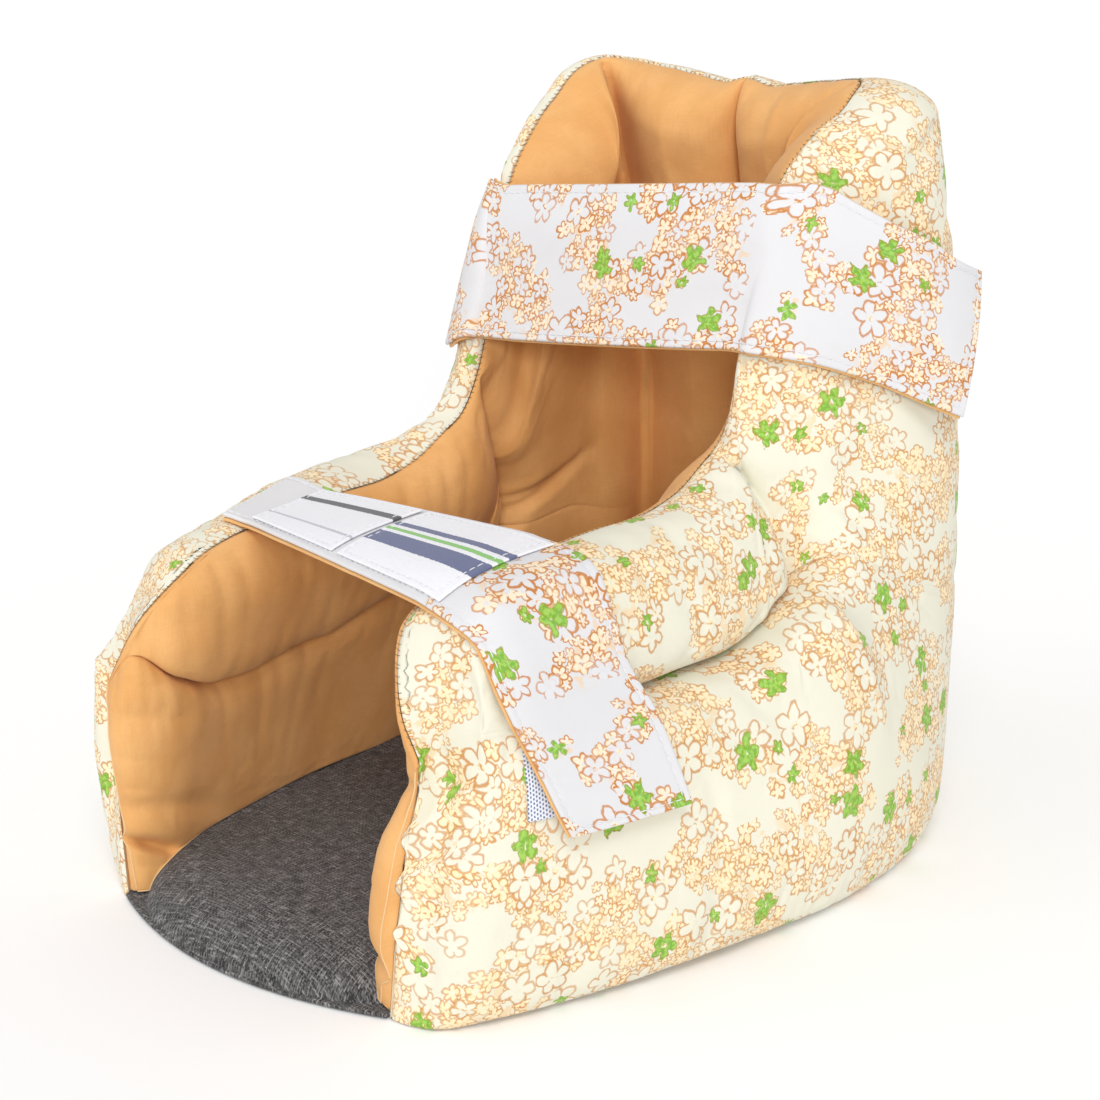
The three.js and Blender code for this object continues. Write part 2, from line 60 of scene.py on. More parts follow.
camera_data = bpy.data.cameras.new("camera")
camera_data.lens = CAMERA_LENS_MM
camera_data.sensor_width = SENSOR_MM
camera_data.clip_start = 0.01
camera = bpy.data.objects.new("camera", camera_data)
bpy.context.scene.collection.objects.link(camera)
camera.location = CAMERA_AT
view_line = Vector(CAMERA_LOOKS_AT) - Vector(CAMERA_AT)
camera.rotation_euler = view_line.to_track_quat("-Z", "Y").to_euler()
bpy.context.scene.camera = camera
print("camera", round(view_line.length, 3), "m from the boot")

# %% [markdown]
# ## The wall as one drawn sheet
# Shell and lining are sewn along the rim and quilted through at a few seams, and the filling
# pushes them apart everywhere else. So the wall is drawn once as its middle sheet. "at" runs from
# the centre of the back (0) to the toe edge (1), "up" from the floor (0) to the rim (1). The
# columns give the rim, the foot line, the belly of the sheet, the filling of shell and lining
# below and above the side seam, that seam's height in each, and how soon the pad closes at the rim.

# %% Stations of the wall, in millimetres
STATION_COLUMNS = [
    "at", "rimX", "rimY", "rimZ", "footX", "footY", "bow",
    "shellLow", "shellHigh", "liningLow", "liningHigh", "shellSeam", "liningSeam", "round",
]
STATIONS = np.array([
    [0.00, 0, 121, 269.5, 0, 142, 8, 22, 24, 18, 20, 0.34, 0.34, 15],
    [0.10, 34, 119, 272, 42, 137, 8, 22, 24, 20, 24, 0.34, 0.34, 15],
    [0.20, 61, 108, 276, 75, 112, 9, 23, 24, 22, 28, 0.34, 0.35, 16],
    [0.26, 67, 93, 270, 85, 94, 10, 26, 19, 22, 31, 0.36, 0.37, 18],
    [0.32, 66, 74, 256, 91, 72, 10, 29, 12, 21, 31, 0.40, 0.39, 22],
    [0.40, 64, 56, 236, 95, 46, 9, 31, 6, 18, 28, 0.48, 0.42, 26],
    [0.50, 62, 44, 190, 97, 18, 8, 32, 8, 15, 25, 0.545, 0.485, 28],
    [0.58, 63, 33, 158, 96, -4, 6, 32, 18, 15, 22, 0.59, 0.60, 26],
    [0.66, 64, 6, 139, 94, -30, 5, 31, 24, 14, 20, 0.63, 0.665, 24],
    [0.76, 62, -48, 133, 88, -64, 5, 29, 26, 13, 18, 0.65, 0.60, 22],
    [0.86, 58, -96, 129, 79, -99, 4, 27, 27, 12, 15, 0.68, 0.60, 19],
    [0.92, 57, -119, 120, 73, -119, 3, 25, 27, 12, 11, 0.74, 0.70, 16],
    [0.96, 64, -131, 104, 69, -129, 2, 24, 26, 12, 7, 0.83, 0.90, 15],
    [1.00, 73, -135, 84, 67, -136, 1, 22, 21, 12, 4, 0.94, 0.96, 14],
])
LENGTH_SHIFT = -7.5
LEAN = {"rise": 5.5, "half_width": 60, "z": (30, 130), "y": (50, 110)}
SIDES = {"near": 1, "far": -1}


def smooth(x, low, high):
    """Smooth step from 0 at low to 1 at high."""
    t = np.clip((x - low) / (high - low), 0, 1)
    return t * t * (3 - 2 * t)


def along(column, at):
    """Smooth value of one station column anywhere along the wall."""
    x = STATIONS[:, 0]
    y = STATIONS[:, STATION_COLUMNS.index(column)]
    gap = np.diff(x)
    rise = np.diff(y) / gap
    slope = np.zeros(len(x))
    slope[1:-1] = (rise[:-1] * gap[1:] + rise[1:] * gap[:-1]) / (gap[1:] + gap[:-1])
    slope[0] = rise[0] if column in ("rimX", "footX") else 0
    slope[-1] = rise[-1]
    i = np.clip(np.searchsorted(x, at, side="right") - 1, 0, len(x) - 2)
    t = (at - x[i]) / gap[i]
    return (
        (2 * t**3 - 3 * t**2 + 1) * y[i] + (t**3 - 2 * t**2 + t) * gap[i] * slope[i]
        + (3 * t**2 - 2 * t**3) * y[i + 1] + (t**3 - t**2) * gap[i] * slope[i + 1]
    )


print("wall", len(STATIONS), "stations, rim from", STATIONS[:, 3].min(), "to", STATIONS[:, 3].max())

# %% [markdown]
# Nothing sewn by hand is quite straight. Seeded lattice noise gives the small waves: of the rim,
# which shell and lining share, and of the side seam, which zigzags a little where it is quilted.

# %% Small waves
LATTICE = 64
RIM_WAVE, RIM_WAVE_BACK, RIM_WAVE_LONG = 1.3, 0.7, 0.035
SEAM_WAVE = {"shell": (1.2, 0.05), "lining": (1.9, 0.035)}


def ripple(x, y, seed):
    """Smooth random waves from -1 to 1, one lattice step long."""
    table = np.random.default_rng(seed).uniform(-1, 1, (LATTICE, LATTICE))
    col, row = np.floor(x).astype(int), np.floor(y).astype(int)
    tx, ty = smooth(x - col, 0, 1), smooth(y - row, 0, 1)
    left, right = col % LATTICE, (col + 1) % LATTICE
    here, next_row = row % LATTICE, (row + 1) % LATTICE
    low = table[left, here] * (1 - tx) + table[right, here] * tx
    high = table[left, next_row] * (1 - tx) + table[right, next_row] * tx
    return low * (1 - ty) + high * ty


def seam_up(cloth, at):
    """Height of the side seam as a share of the wall, with its small zigzag."""
    tall, long = SEAM_WAVE[cloth]
    wave = tall * ripple(at / long, 0 * at, 8) * smooth(at, 0.3, 0.4)
    return along(cloth + "Seam", at) + wave / along("rimZ", at)


print("seam at the toe", seam_up("lining", np.array([0.9])).round(2))

# %% [markdown]
# Two things follow from the table at any spot: the point of the middle sheet, and the direction
# square to it, along which shell and lining swell. Both are worked out for whole grids at once.

# %% Points and directions of the middle sheet
def outward(at):
    """Level direction pointing out of the boot at a station of the foot line."""
    ahead = np.clip(at + 0.01, 0, 1)
    behind = np.clip(at - 0.01, 0, 1)
    dx = along("footX", ahead) - along("footX", behind)
    dy = along("footY", ahead) - along("footY", behind)
    return np.stack([-dy, dx, 0 * dx], -1) / np.hypot(dx, dy)[..., None]


def middle(at, up):
    """Point of the middle sheet of the near wall."""
    at, up = np.broadcast_arrays(np.asarray(at, float), np.asarray(up, float))
    foot = np.stack([along("footX", at), along("footY", at), 0 * at], -1)
    rim = np.stack([along("rimX", at), along("rimY", at), along("rimZ", at)], -1)
    belly = 4 * up * (1 - up) * along("bow", at)
    wave = (RIM_WAVE + RIM_WAVE_BACK * (1 - smooth(at, 0.12, 0.25))) * smooth(up, 0.93, 1)
    wave = wave * ripple(at / RIM_WAVE_LONG, 0 * at, 4)
    points = foot + (rim - foot) * up[..., None] + outward(at) * belly[..., None]
    return points + np.stack([0 * wave, 0 * wave, wave], -1)


def unit(vectors):
    """The same directions, one long."""
    return vectors / np.maximum(np.linalg.norm(vectors, axis=-1, keepdims=True), 1e-9)


def square(at, up):
    """Direction out of the boot, square to the middle sheet."""
    step = 0.015
    at, up = np.broadcast_arrays(np.asarray(at, float), np.asarray(up, float))
    lengthways = middle(np.clip(at + step, 0, 1), up) - middle(np.clip(at - step, 0, 1), up)
    upwards = middle(at, np.clip(up + step, 0, 1)) - middle(at, np.clip(up - step, 0, 1))
    return unit(np.cross(upwards, lengthways))


print("middle sheet at the ankle", middle(0.5, 0.5).round(1))

# %% [markdown]
# The filling is held down along lines: the rim, the toe edge, the side seam, the ankle seam, and
# inside also the two channels beside the heel and the back seam. Between them it rises in a
# quarter round, as fibre filling does beside a row of quilting.

# %% Filling between the quilting lines
HEM = 1.4
SEAM_REACH = 18
SEAM_SOFT = 0.7
SEAM_BLEND = {"back": 0.30, "side": 0.05}
SIDE_SEAM_POWER = 2.5
SIDE_SEAM = {"shell": 0.88, "lining": 0.95}
SIDE_SEAM_FROM = {"shell": (0.39, 0.48), "lining": (0.34, 0.44)}
BACK_SIDE_SEAM = {"shell": 0.05, "lining": 0.03}
SHELL_SEAM_OPENS = (0.76, 0.87)
SHELL_SEAM_OPENING = 0.96
ANKLE_SEAM = {"shell": 0.88, "lining": 0.93}
ANKLE_SEAM_POWER, ANKLE_SEAM_SOFT = 2.2, 1.2
ANKLE_SEAM_FOOT = (-0.03, 0.02)
# How far below the rim the ankle seam fades out
ANKLE_FADES = {"near_shell": (0, 0.16), "far_shell": (0, 0.16), "near_lining": (0.25, 0.45)}
# The ankle seam by (at, up), from the rim down to the side seam
ANKLE_PLACES = {
    "shell": [
        (0.63, 1), (0.595, 0.94), (0.56, 0.86), (0.53, 0.77),
        (0.507, 0.69), (0.489, 0.62), (0.477, 0.575), (0.474, 0.54),
    ],
    "lining": [
        (0.56, 1), (0.525, 0.84), (0.485, 0.70), (0.445, 0.60),
        (0.41, 0.54), (0.39, 0.49), (0.388, 0.45), (0.40, 0.42),
    ],
}
ROLL_END = {"shell": 20, "lining": 0}
# The channel beside the heel by (at, up), and how the lining rises on its two sides
CHANNEL_PLACES = [
    (0.14, 0), (0.14, 0.35), (0.137, 0.50), (0.142, 0.62), (0.165, 0.83), (0.185, 0.93), (0.21, 1.0),
]
CHANNEL_DEPTH = 0.93
CHANNEL_FRONT = {"reach": 18, "power": 2.3}
CHANNEL_BACK = {"reach": 34, "power": 1.25}
BACK_SEAM = {"shell": 0.18, "lining": 0.80}
BACK_SEAM_REACH = 15
TOE_EDGE = {"shell": 0.10, "lining": 0.20, "shell_reach": 22, "lining_reach": 20}
FLOOR_EDGE = {"shell": 0.66, "lining": 0.85, "reach": 25}
LINING_ROUND_EXTRA = 4
RIM_POWER = {"shell": 1.35, "lining": 2.0}
RIM_POWER_FADE = (0.13, 0.24)
# Where the near lining turns over the rim in a tighter round
TIGHT_RIM = {"less": 0.5, "from": (0.26, 0.36), "to": (0.68, 0.78)}
SOLE_THICK = 15
# Where one side is stuffed otherwise: pad, fading in and out along the wall, heights, filling times
UNEVEN = [
    ("far_shell", (0.70, 0.86), None, (0, 20, 45, 75, 95, 110), (0.55, 0.75, 1.1, 1.25, 0.8, 0.6)),
    ("far_shell", (0.60, 0.70), (0.87, 0.92), (0, 90, 110), (1.0, 1.0, 1.35)),
    ("far_shell", (0.10, 0.18), (0.34, 0.42), (0, 190, 235), (1.0, 1.0, 0.45)),
    (
        "near_lining", (0.88, 0.95), None,
        (0, 12, 30, 45, 55, 64, 74, 84), (2.3, 2.1, 1.75, 1.5, 1.1, 0.6, 0.2, 0.1),
    ),
    ("near_lining", (0.36, 0.43), (0.60, 0.70), (0, 90, 115, 180, 225), (1.0, 1.0, 1.45, 1.45, 1.1)),
]


def dome(distance, reach, power=2.0):
    """Rounded rise of a pad, 0 at an edge or seam and 1 at its reach."""
    t = np.clip(distance / reach, 0, 1)
    return np.maximum(1 - (1 - t) ** power, 0) ** (1 / power)


def pinch(depth, distance, reach, power=2.0, soft=SEAM_SOFT):
    """Share of the filling that is left beside a seam."""
    softened = np.sqrt(distance**2 + soft**2) - soft
    return 1 - depth * (1 - dome(softened, reach, power))


def distance_to(line, points):
    """Shortest distance from each point to a line of points."""
    flat = points.reshape(-1, 3)
    start, run = line[:-1], np.diff(line, axis=0)
    length = (run**2).sum(-1)
    ahead = flat @ run.T - (start * run).sum(-1)
    share = np.clip(ahead / length, 0, 1)
    apart = (flat**2).sum(-1)[:, None] - 2 * flat @ start.T + (start**2).sum(-1)
    nearest = (apart - 2 * share * ahead + share**2 * length).min(1)
    return np.sqrt(np.maximum(nearest, 0)).reshape(points.shape[:-1])


def sheet_line(places, count=40):
    """A line on the middle sheet through a few places (at, up)."""
    at, up = np.array(places, float).T
    share = np.linspace(0, len(at) - 1, count + 1)
    return middle(np.interp(share, np.arange(len(at)), at), np.interp(share, np.arange(len(at)), up))


def run_along(line):
    """Distance along a line of points, from 0 at its first."""
    return np.append(0, np.cumsum(np.linalg.norm(np.diff(line, axis=0), axis=-1)))


RIM_LINE = sheet_line([(0, 1), (1, 1)], 120)
TOE_LINE = sheet_line([(1, 0), (1, 1)])
BACK_LINE = sheet_line([(0, 0), (0, 1)])
CHANNEL_LINE = sheet_line(CHANNEL_PLACES)
ANKLE_LINES = {cloth: sheet_line(places) for cloth, places in ANKLE_PLACES.items()}


def before_ankle(cloth, at, up):
    """1 on the foot's side of the ankle seam, 0 on the leg's side."""
    line_at, line_up = np.array(ANKLE_PLACES[cloth][::-1]).T
    return smooth(at - np.interp(up, line_up, line_at), -0.008, 0.008)


def side_depth(cloth, at):
    """How far the side seam pulls the pad in, along the wall."""
    full = smooth(at, *SIDE_SEAM_FROM[cloth])
    depth = BACK_SIDE_SEAM[cloth] + (SIDE_SEAM[cloth] - BACK_SIDE_SEAM[cloth]) * full
    if cloth == "shell":
        depth = depth * (1 - SHELL_SEAM_OPENING * smooth(at, *SHELL_SEAM_OPENS))
    return depth


def filling(side, cloth, at, up):
    """Filling of the shell or the lining, measured from the middle sheet."""
    pad = side + "_" + cloth
    point = middle(at, up)
    seam = seam_up(cloth, at)
    full = smooth(at, *SIDE_SEAM_FROM[cloth])
    blend = SEAM_BLEND["back"] + (SEAM_BLEND["side"] - SEAM_BLEND["back"]) * full
    high = smooth((up - seam) / blend, -1, 1)
    to_seam = np.linalg.norm(point - middle(at, seam), axis=-1)
    low_fill = along(cloth + "Low", at)
    high_fill = np.maximum(along(cloth + "High", at), ROLL_END[cloth] * before_ankle(cloth, at, up))
    fill = low_fill + (high_fill - low_fill) * high
    rounding = along("round", at) + (LINING_ROUND_EXTRA if cloth == "lining" else 0)
    if pad == "near_lining":
        tight = smooth(at, *TIGHT_RIM["from"]) * (1 - smooth(at, *TIGHT_RIM["to"]))
        rounding = rounding * (1 - TIGHT_RIM["less"] * tight)
    ankle = ANKLE_SEAM[cloth] * smooth(up - seam, *ANKLE_SEAM_FOOT)
    if pad in ANKLE_FADES:
        ankle = ankle * smooth(1 - up, *ANKLE_FADES[pad])
    bed = SOLE_THICK if cloth == "lining" else 0
    power = 2 - (2 - RIM_POWER[cloth]) * (1 - smooth(at, *RIM_POWER_FADE))
    fill = fill * dome(distance_to(RIM_LINE, point), rounding, power)
    fill = fill * pinch(1 - TOE_EDGE[cloth], distance_to(TOE_LINE, point), TOE_EDGE[cloth + "_reach"])
    fill = fill * pinch(side_depth(cloth, at), to_seam, SEAM_REACH, SIDE_SEAM_POWER)
    to_ankle = distance_to(ANKLE_LINES[cloth], point)
    fill = fill * pinch(ankle, to_ankle, SEAM_REACH, ANKLE_SEAM_POWER, ANKLE_SEAM_SOFT)
    fill = fill * pinch(1 - FLOOR_EDGE[cloth], np.maximum(point[..., 2] - bed, 0), FLOOR_EDGE["reach"])
    fill = fill * pinch(BACK_SEAM[cloth], distance_to(BACK_LINE, point), BACK_SEAM_REACH)
    if cloth == "lining":
        line_at, line_up = np.array(CHANNEL_PLACES).T
        behind = 1 - smooth(at - np.interp(up, line_up, line_at), -0.01, 0.01)
        apart = distance_to(CHANNEL_LINE, point)
        front = pinch(CHANNEL_DEPTH, apart, **CHANNEL_FRONT)
        back = pinch(CHANNEL_DEPTH, apart, **CHANNEL_BACK)
        fill = fill * (front + (back - front) * behind)
    for name, fade_in, fade_out, heights, times in UNEVEN:
        if name == pad:
            here = smooth(at, *fade_in) * (1 - smooth(at, *fade_out) if fade_out else 1)
            fill = fill * (1 + (np.interp(point[..., 2], heights, times) - 1) * here)
    return fill


print("filling at the ankle", filling("near", "shell", np.array([0.6]), np.array([0.4])).round(1), "mm")

# %% [markdown]
# Hand-sewn quilting is never smooth. The cloth is gathered into the rim and the seams, so small
# pleats run square to them, and a few long folds start where the wall turns: at the ankle, at the
# toe edge and under the rim's corner. Pleats are sharp seeded valleys, folds are drawn valleys.

# %% Pleats and folds
# Pleats beside a line: height in mm, how far they reach, and their spacing along the line
GATHERS = {
    "shell": {"rim": (0.9, 9, 13), "toe": (1.6, 12, 15), "side": (0.6, 9, 15), "ankle": (0.5, 8, 12)},
    "lining": {"rim": (1.5, 11, 12), "toe": (0.8, 12, 13), "side": (0.9, 11, 16), "ankle": (0.6, 10, 14)},
}
BROAD_WAVE = {"shell": (1.3, 52), "lining": (0.8, 46)}
PLEATS = 90
TIGHT_LIP = 0.2

# Long folds: pad, start and end as (at, up), depth and half width in mm
FOLDS = [
    ("near_shell", (0.47, 0.52), (0.29, 0.60), 3.2, 11),
    ("far_shell", (0.47, 0.50), (0.27, 0.58), 3.0, 15),
    ("near_shell", (0.33, 0.97), (0.25, 0.76), 2.6, 9),
    ("near_shell", (0.315, 1.00), (0.285, 0.90), 3.0, 3),
    ("near_shell", (0.615, 1.00), (0.555, 0.85), 2.5, 4),
    ("near_shell", (1.00, 0.92), (0.93, 0.80), 3.0, 4),
    ("near_shell", (1.00, 0.72), (0.92, 0.62), 4.6, 4),
    ("near_shell", (1.00, 0.54), (0.90, 0.42), 5.0, 4.5),
    ("near_shell", (1.00, 0.36), (0.93, 0.28), 3.6, 3.5),
    ("far_lining", (0.41, 0.46), (0.27, 0.45), 2.6, 2.2),
    ("far_lining", (0.40, 0.43), (0.20, 0.45), 3.4, 2.8),
    ("near_lining", (0.41, 0.46), (0.28, 0.42), 2.6, 3),
    ("far_lining", (1.00, 0.40), (0.83, 0.13), 2.0, 4.5),
    ("far_lining", (0.99, 0.78), (0.90, 0.52), 1.3, 6),
    ("far_lining", (1.00, 0.26), (0.935, 0.13), 3.6, 2.4),
    ("far_lining", (0.935, 0.13), (1.00, 0.26), 3.6, 2.4),
    ("near_lining", (1.00, 0.16), (0.965, 0.22), 4.0, 2.6),
    ("near_lining", (1.00, 0.88), (0.955, 0.70), 2.6, 3),
    ("far_lining", (0.95, 0.97), (0.86, 0.80), 1.6, 7),
]


def pleats(place, spacing, seed):
    """Sharp valleys along a line: 1 in the middle of a deep one, 0 between them."""
    rng = np.random.default_rng(seed)
    spots = np.cumsum(rng.uniform(0.55, 1.45, PLEATS) * spacing) - 40 * spacing
    depth = rng.uniform(0.3, 1.0, PLEATS)
    right = np.clip(np.searchsorted(spots, place), 1, PLEATS - 1)
    nearest = np.where(place - spots[right - 1] < spots[right] - place, right - 1, right)
    return depth[nearest] * np.exp(-np.abs(place - spots[nearest]) / (0.2 * spacing))


def wrinkles(side, cloth, at, up, seed):
    """How far pleats and folds lift or sink the cloth, in millimetres."""
    point = middle(at, up)
    along_rim = np.interp(at, np.linspace(0, 1, len(RIM_LINE)), run_along(RIM_LINE))
    spots = {
        "rim": (distance_to(RIM_LINE, point), along_rim),
        "toe": (distance_to(TOE_LINE, point), point[..., 2]),
        "side": (np.linalg.norm(point - middle(at, seam_up(cloth, at)), axis=-1), along_rim),
        "ankle": (distance_to(ANKLE_LINES[cloth], point), point[..., 2] - point[..., 1]),
    }
    height, wave = BROAD_WAVE[cloth]
    total = height * ripple(along_rim / wave, point[..., 2] / wave, seed)
    for k, (name, (tall, reach, spacing)) in enumerate(GATHERS[cloth].items()):
        distance, place = spots[name]
        if (side, cloth, name) == ("near", "lining", "toe"):
            tall = tall * TIGHT_LIP
        slant = 0.3 * distance * ripple(place / (2 * spacing), 0 * place, seed + 31 + k)
        waves = 0.45 * ripple(place / spacing * 1.7, distance / (3 * reach), seed + 1 + k)
        waves = waves - 1.2 * pleats(place + slant, spacing, seed + 11 + k)
        fade = np.exp(-distance / reach) * smooth(distance, 0, 2.0)
        if name in ("side", "ankle"):
            fade = fade * smooth(at, 0.30, 0.5)
        total = total + tall * waves * fade
    for pad, start, end, depth, width in FOLDS:
        if pad == side + "_" + cloth:
            line = sheet_line([start, end], 10)
            reach = np.linalg.norm(point - line[0], axis=-1) / np.linalg.norm(line[-1] - line[0])
            valley = np.exp(-((distance_to(line, point) / width) ** 2))
            total = total - depth * valley * (1 - smooth(reach, 0.45, 1.1))
    return total


print("pleats at the rim", wrinkles("far", "lining", np.linspace(0.1, 0.9, 5), 0.97, 7).round(2))

# %% [markdown]
# ## The foot bed's height
# The lining stands on the foot bed, so the pad's shape comes first: flat, 15 mm thick, with a
# front that runs out in a bulge past the walls and thins to a sewn edge.

# %% Height of the foot bed
SOLE_CROWN = 2.5
SOLE_CROWN_REACH = 0.75
SOLE_INSET = 0.5
SOLE_FRONT_Y = -137
SOLE_FRONT_BULGE = 15
SOLE_FRONT_RAMP = 30
SOLE_CORNER_SETBACK = 14
SOLE_EDGE_THICK = 1.6
SOLE_BACK_AT = 0.03
GAP = 0.3


def sole_front(share):
    """Where the front edge of the foot bed lies, from its middle (0) to its sides (1)."""
    return SOLE_FRONT_Y - SOLE_FRONT_BULGE * (1 - share**2)


def sole_top(x, y):
    """Height of the foot bed under a point of the wall."""
    share = np.clip(np.abs(x) / along("footX", 1.0), 0, 1)
    behind = y - sole_front(share) - SOLE_CORNER_SETBACK * share**6
    return np.maximum(SOLE_EDGE_THICK, SOLE_THICK * dome(behind, SOLE_FRONT_RAMP))


print("foot bed", sole_top(0, 0), "mm thick")

# %% [markdown]
# ## Grids that follow the cloth
# A pad is drawn as a grid of points: columns along the wall, rows up it. Both crowd together where
# the cloth turns sharply, at the rim, the side seam, the toe edge and the centre back, so that
# every round edge gets enough points without making the flat parts heavy.

# %% Columns and rows of a wall
COLUMNS = 280
HALF_ROWS = 92
LIP = 4


def crowded(count, start, end, reach):
    """Shares from 0 to 1 that crowd together near either end."""
    t = (np.arange(count) + 0.5) / count
    step = (1 - start * np.exp(-t / reach)) * (1 - end * np.exp(-(1 - t) / reach))
    shares = np.append(0, np.cumsum(step))
    return shares / shares[-1]


def wall_grid(cloth):
    """Places (at, up) of a wall's grid, rows running along the side seam."""
    at = crowded(COLUMNS, 0.5, 0.93, 0.06)[:, None]
    bed = sole_top(along("footX", at), along("footY", at)) + 2 * GAP
    lowest = 0 * at if cloth == "shell" else bed / along("rimZ", at)
    seam = seam_up(cloth, at)
    low = lowest + (seam - lowest) * crowded(HALF_ROWS, 0.4, 0.7, 0.1)[None]
    high = seam + (1 - seam) * crowded(HALF_ROWS, 0.75, 0.97, 0.12)[None, 1:]
    up = np.concatenate([low, high], 1)
    return np.broadcast_to(at, up.shape), up


print("a wall has", wall_grid("shell")[0].shape, "points")

# %% [markdown]
# The face of a pad is the middle sheet pushed out by the filling and the pleats. Above the side
# seam the stuffed roll sags over the seam, which closes it to a dark line. The face is kept on its
# own side of the back seam and above what it stands on. The far wall is the near one in a mirror,
# with its own pleats, because two hand-filled sides never come out alike.

# %% Faces of the pads
OUT = {"shell": 1, "lining": -1}
SAG = {"shell": 3.2, "lining": 4.2}
SAG_REACH = 8


def above_floor(cloth, points):
    """Keeps a pad on its own side of the back seam and off what it stands on."""
    x = np.maximum(points[..., 0], GAP / 2)
    floor = 0 if cloth == "shell" else sole_top(x, points[..., 1]) + 2 * GAP
    z = np.maximum(points[..., 2], floor)
    return np.stack([x, points[..., 1], z], -1)


def sagged(cloth, at, up):
    """Middle sheet with the roll above the side seam slipped down over it."""
    seam = seam_up(cloth, at)
    points = middle(at, up)
    above = np.linalg.norm(points - middle(at, seam), axis=-1) * (up > seam) / SAG_REACH
    drop = SAG[cloth] * above * np.exp(1 - above) * side_depth(cloth, at)
    down = unit(middle(at, up - 0.01) - middle(at, up + 0.01))
    return points + down * drop[..., None]


def face(side, cloth, at, up, seed=None):
    """Visible face of a wall, drawn on the near side, pleated if it gets a seed."""
    swell = HEM + filling(side, cloth, at, up)
    if seed is not None:
        swell = swell + wrinkles(side, cloth, at, up, seed) * smooth(swell, HEM, HEM + 2.2)
    points = sagged(cloth, at, up) + square(at, up) * (OUT[cloth] * swell)[..., None]
    return above_floor(cloth, points)


def hidden_face(cloth, at, up):
    """Face of a pad that lies against the other one."""
    points = middle(at, up) + square(at, up) * OUT[cloth] * GAP / 2
    return above_floor(cloth, points)


print("near shell at the ankle", face("near", "shell", np.array([0.5]), np.array([0.4])).round(1))

# %% [markdown]
# ## Cloth that takes its own folds
# Drawn puckers alone look drawn. So each face is also handed to Blender's Cloth: pinned at its
# seams, blown out by a light pressure, with a little more cloth than the outline needs. It settles
# into small creases of its own. Only that settling is kept, limited to a few millimetres, and
# added back to the drawn face.

# %% Settle a face with Cloth
CLOTH_FRAMES = 20
CLOTH_PRESSURE = 4.0
SPARE_CLOTH = -0.045
MOST_OUT = 0.9
MOST_IN = 4.5
CREASE_SHARE = {"shell": 0.6, "lining": 0.15}


def quads(ids):
    """Faces between the numbered points of a grid."""
    return np.stack([ids[:-1, :-1], ids[1:, :-1], ids[1:, 1:], ids[:-1, 1:]], -1).reshape(-1, 4)


def sheet_mesh(name, points):
    """Open mesh of a grid of points, in metres."""
    columns, rows = points.shape[:2]
    ids = np.arange(columns * rows).reshape(columns, rows)
    mesh = bpy.data.meshes.new(name)
    mesh.from_pydata((points.reshape(-1, 3) * MM).tolist(), [], quads(ids).tolist())
    return mesh


def settled(points, pins, outwards):
    """How far Cloth moves a grid of points, in millimetres."""
    thing = bpy.data.objects.new("settling", sheet_mesh("settling", points))
    bpy.context.scene.collection.objects.link(thing)
    group = thing.vertex_groups.new(name="pins")
    for k, weight in enumerate(pins.ravel()):
        if weight > 0.01:
            group.add([k], float(weight), "REPLACE")
    cloth = thing.modifiers.new("cloth", "CLOTH")
    settings = cloth.settings
    settings.quality = 6
    settings.mass = 0.15
    settings.tension_stiffness = 12
    settings.compression_stiffness = 12
    settings.shear_stiffness = 4
    settings.bending_stiffness = 0.15
    settings.air_damping = 2
    settings.use_pressure = True
    settings.uniform_pressure_force = CLOTH_PRESSURE * outwards
    settings.shrink_min = SPARE_CLOTH
    settings.vertex_group_mass = "pins"
    settings.effector_weights.gravity = 0
    cloth.collision_settings.use_collision = False
    cloth.point_cache.frame_start = 1
    cloth.point_cache.frame_end = CLOTH_FRAMES
    scene = bpy.context.scene
    for step in range(1, CLOTH_FRAMES + 1):
        scene.frame_set(step)
    seen = thing.evaluated_get(bpy.context.evaluated_depsgraph_get())
    end = np.zeros(points.size)
    seen.data.vertices.foreach_get("co", end)
    bpy.data.objects.remove(thing)
    scene.frame_set(1)
    return end.reshape(points.shape) / MM - points


print("cloth settles in", CLOTH_FRAMES, "frames")

# %% [markdown]
# The settling is worked out on every second point, because creases are wide against the grid, and
# is then carried to the points between. It fades out near the seams that hold the cloth.

# %% Pins and the carried settling
SETTLE_FADE = 3.0
SIDE_PINNED = {"from": (0.30, 0.45), "free_mm": 40}
NO_SEAM_MM = 99


def seam_distance(cloth, at, up):
    """Distance of each point of a wall to the nearest line of stitches."""
    point = middle(at, up)
    seam = seam_up(cloth, at)
    to_side = np.linalg.norm(point - middle(at, seam), axis=-1)
    near = np.minimum(distance_to(RIM_LINE, point), distance_to(TOE_LINE, point))
    near = np.minimum(near, distance_to(BACK_LINE, point))
    near = np.minimum(near, to_side + SIDE_PINNED["free_mm"] * (1 - smooth(at, *SIDE_PINNED["from"])))
    to_ankle = distance_to(ANKLE_LINES[cloth], point)
    near = np.minimum(near, np.where(up > seam - 0.02, to_ankle, NO_SEAM_MM))
    if cloth == "lining":
        near = np.minimum(near, distance_to(CHANNEL_LINE, point))
    return near


def between(coarse):
    """Fills in the points between those of a coarse grid, smoothly along both ways."""
    for _ in range(2):
        count = len(coarse)
        fine = np.zeros((2 * count - 1,) + coarse.shape[1:])
        fine[::2] = coarse
        fine[1::2] = (coarse[:-1] + coarse[1:]) / 2
        fine[3:-3:2] = (9 * (coarse[1:-2] + coarse[2:-1]) - coarse[:-3] - coarse[3:]) / 16
        coarse = fine.swapaxes(0, 1)
    return coarse


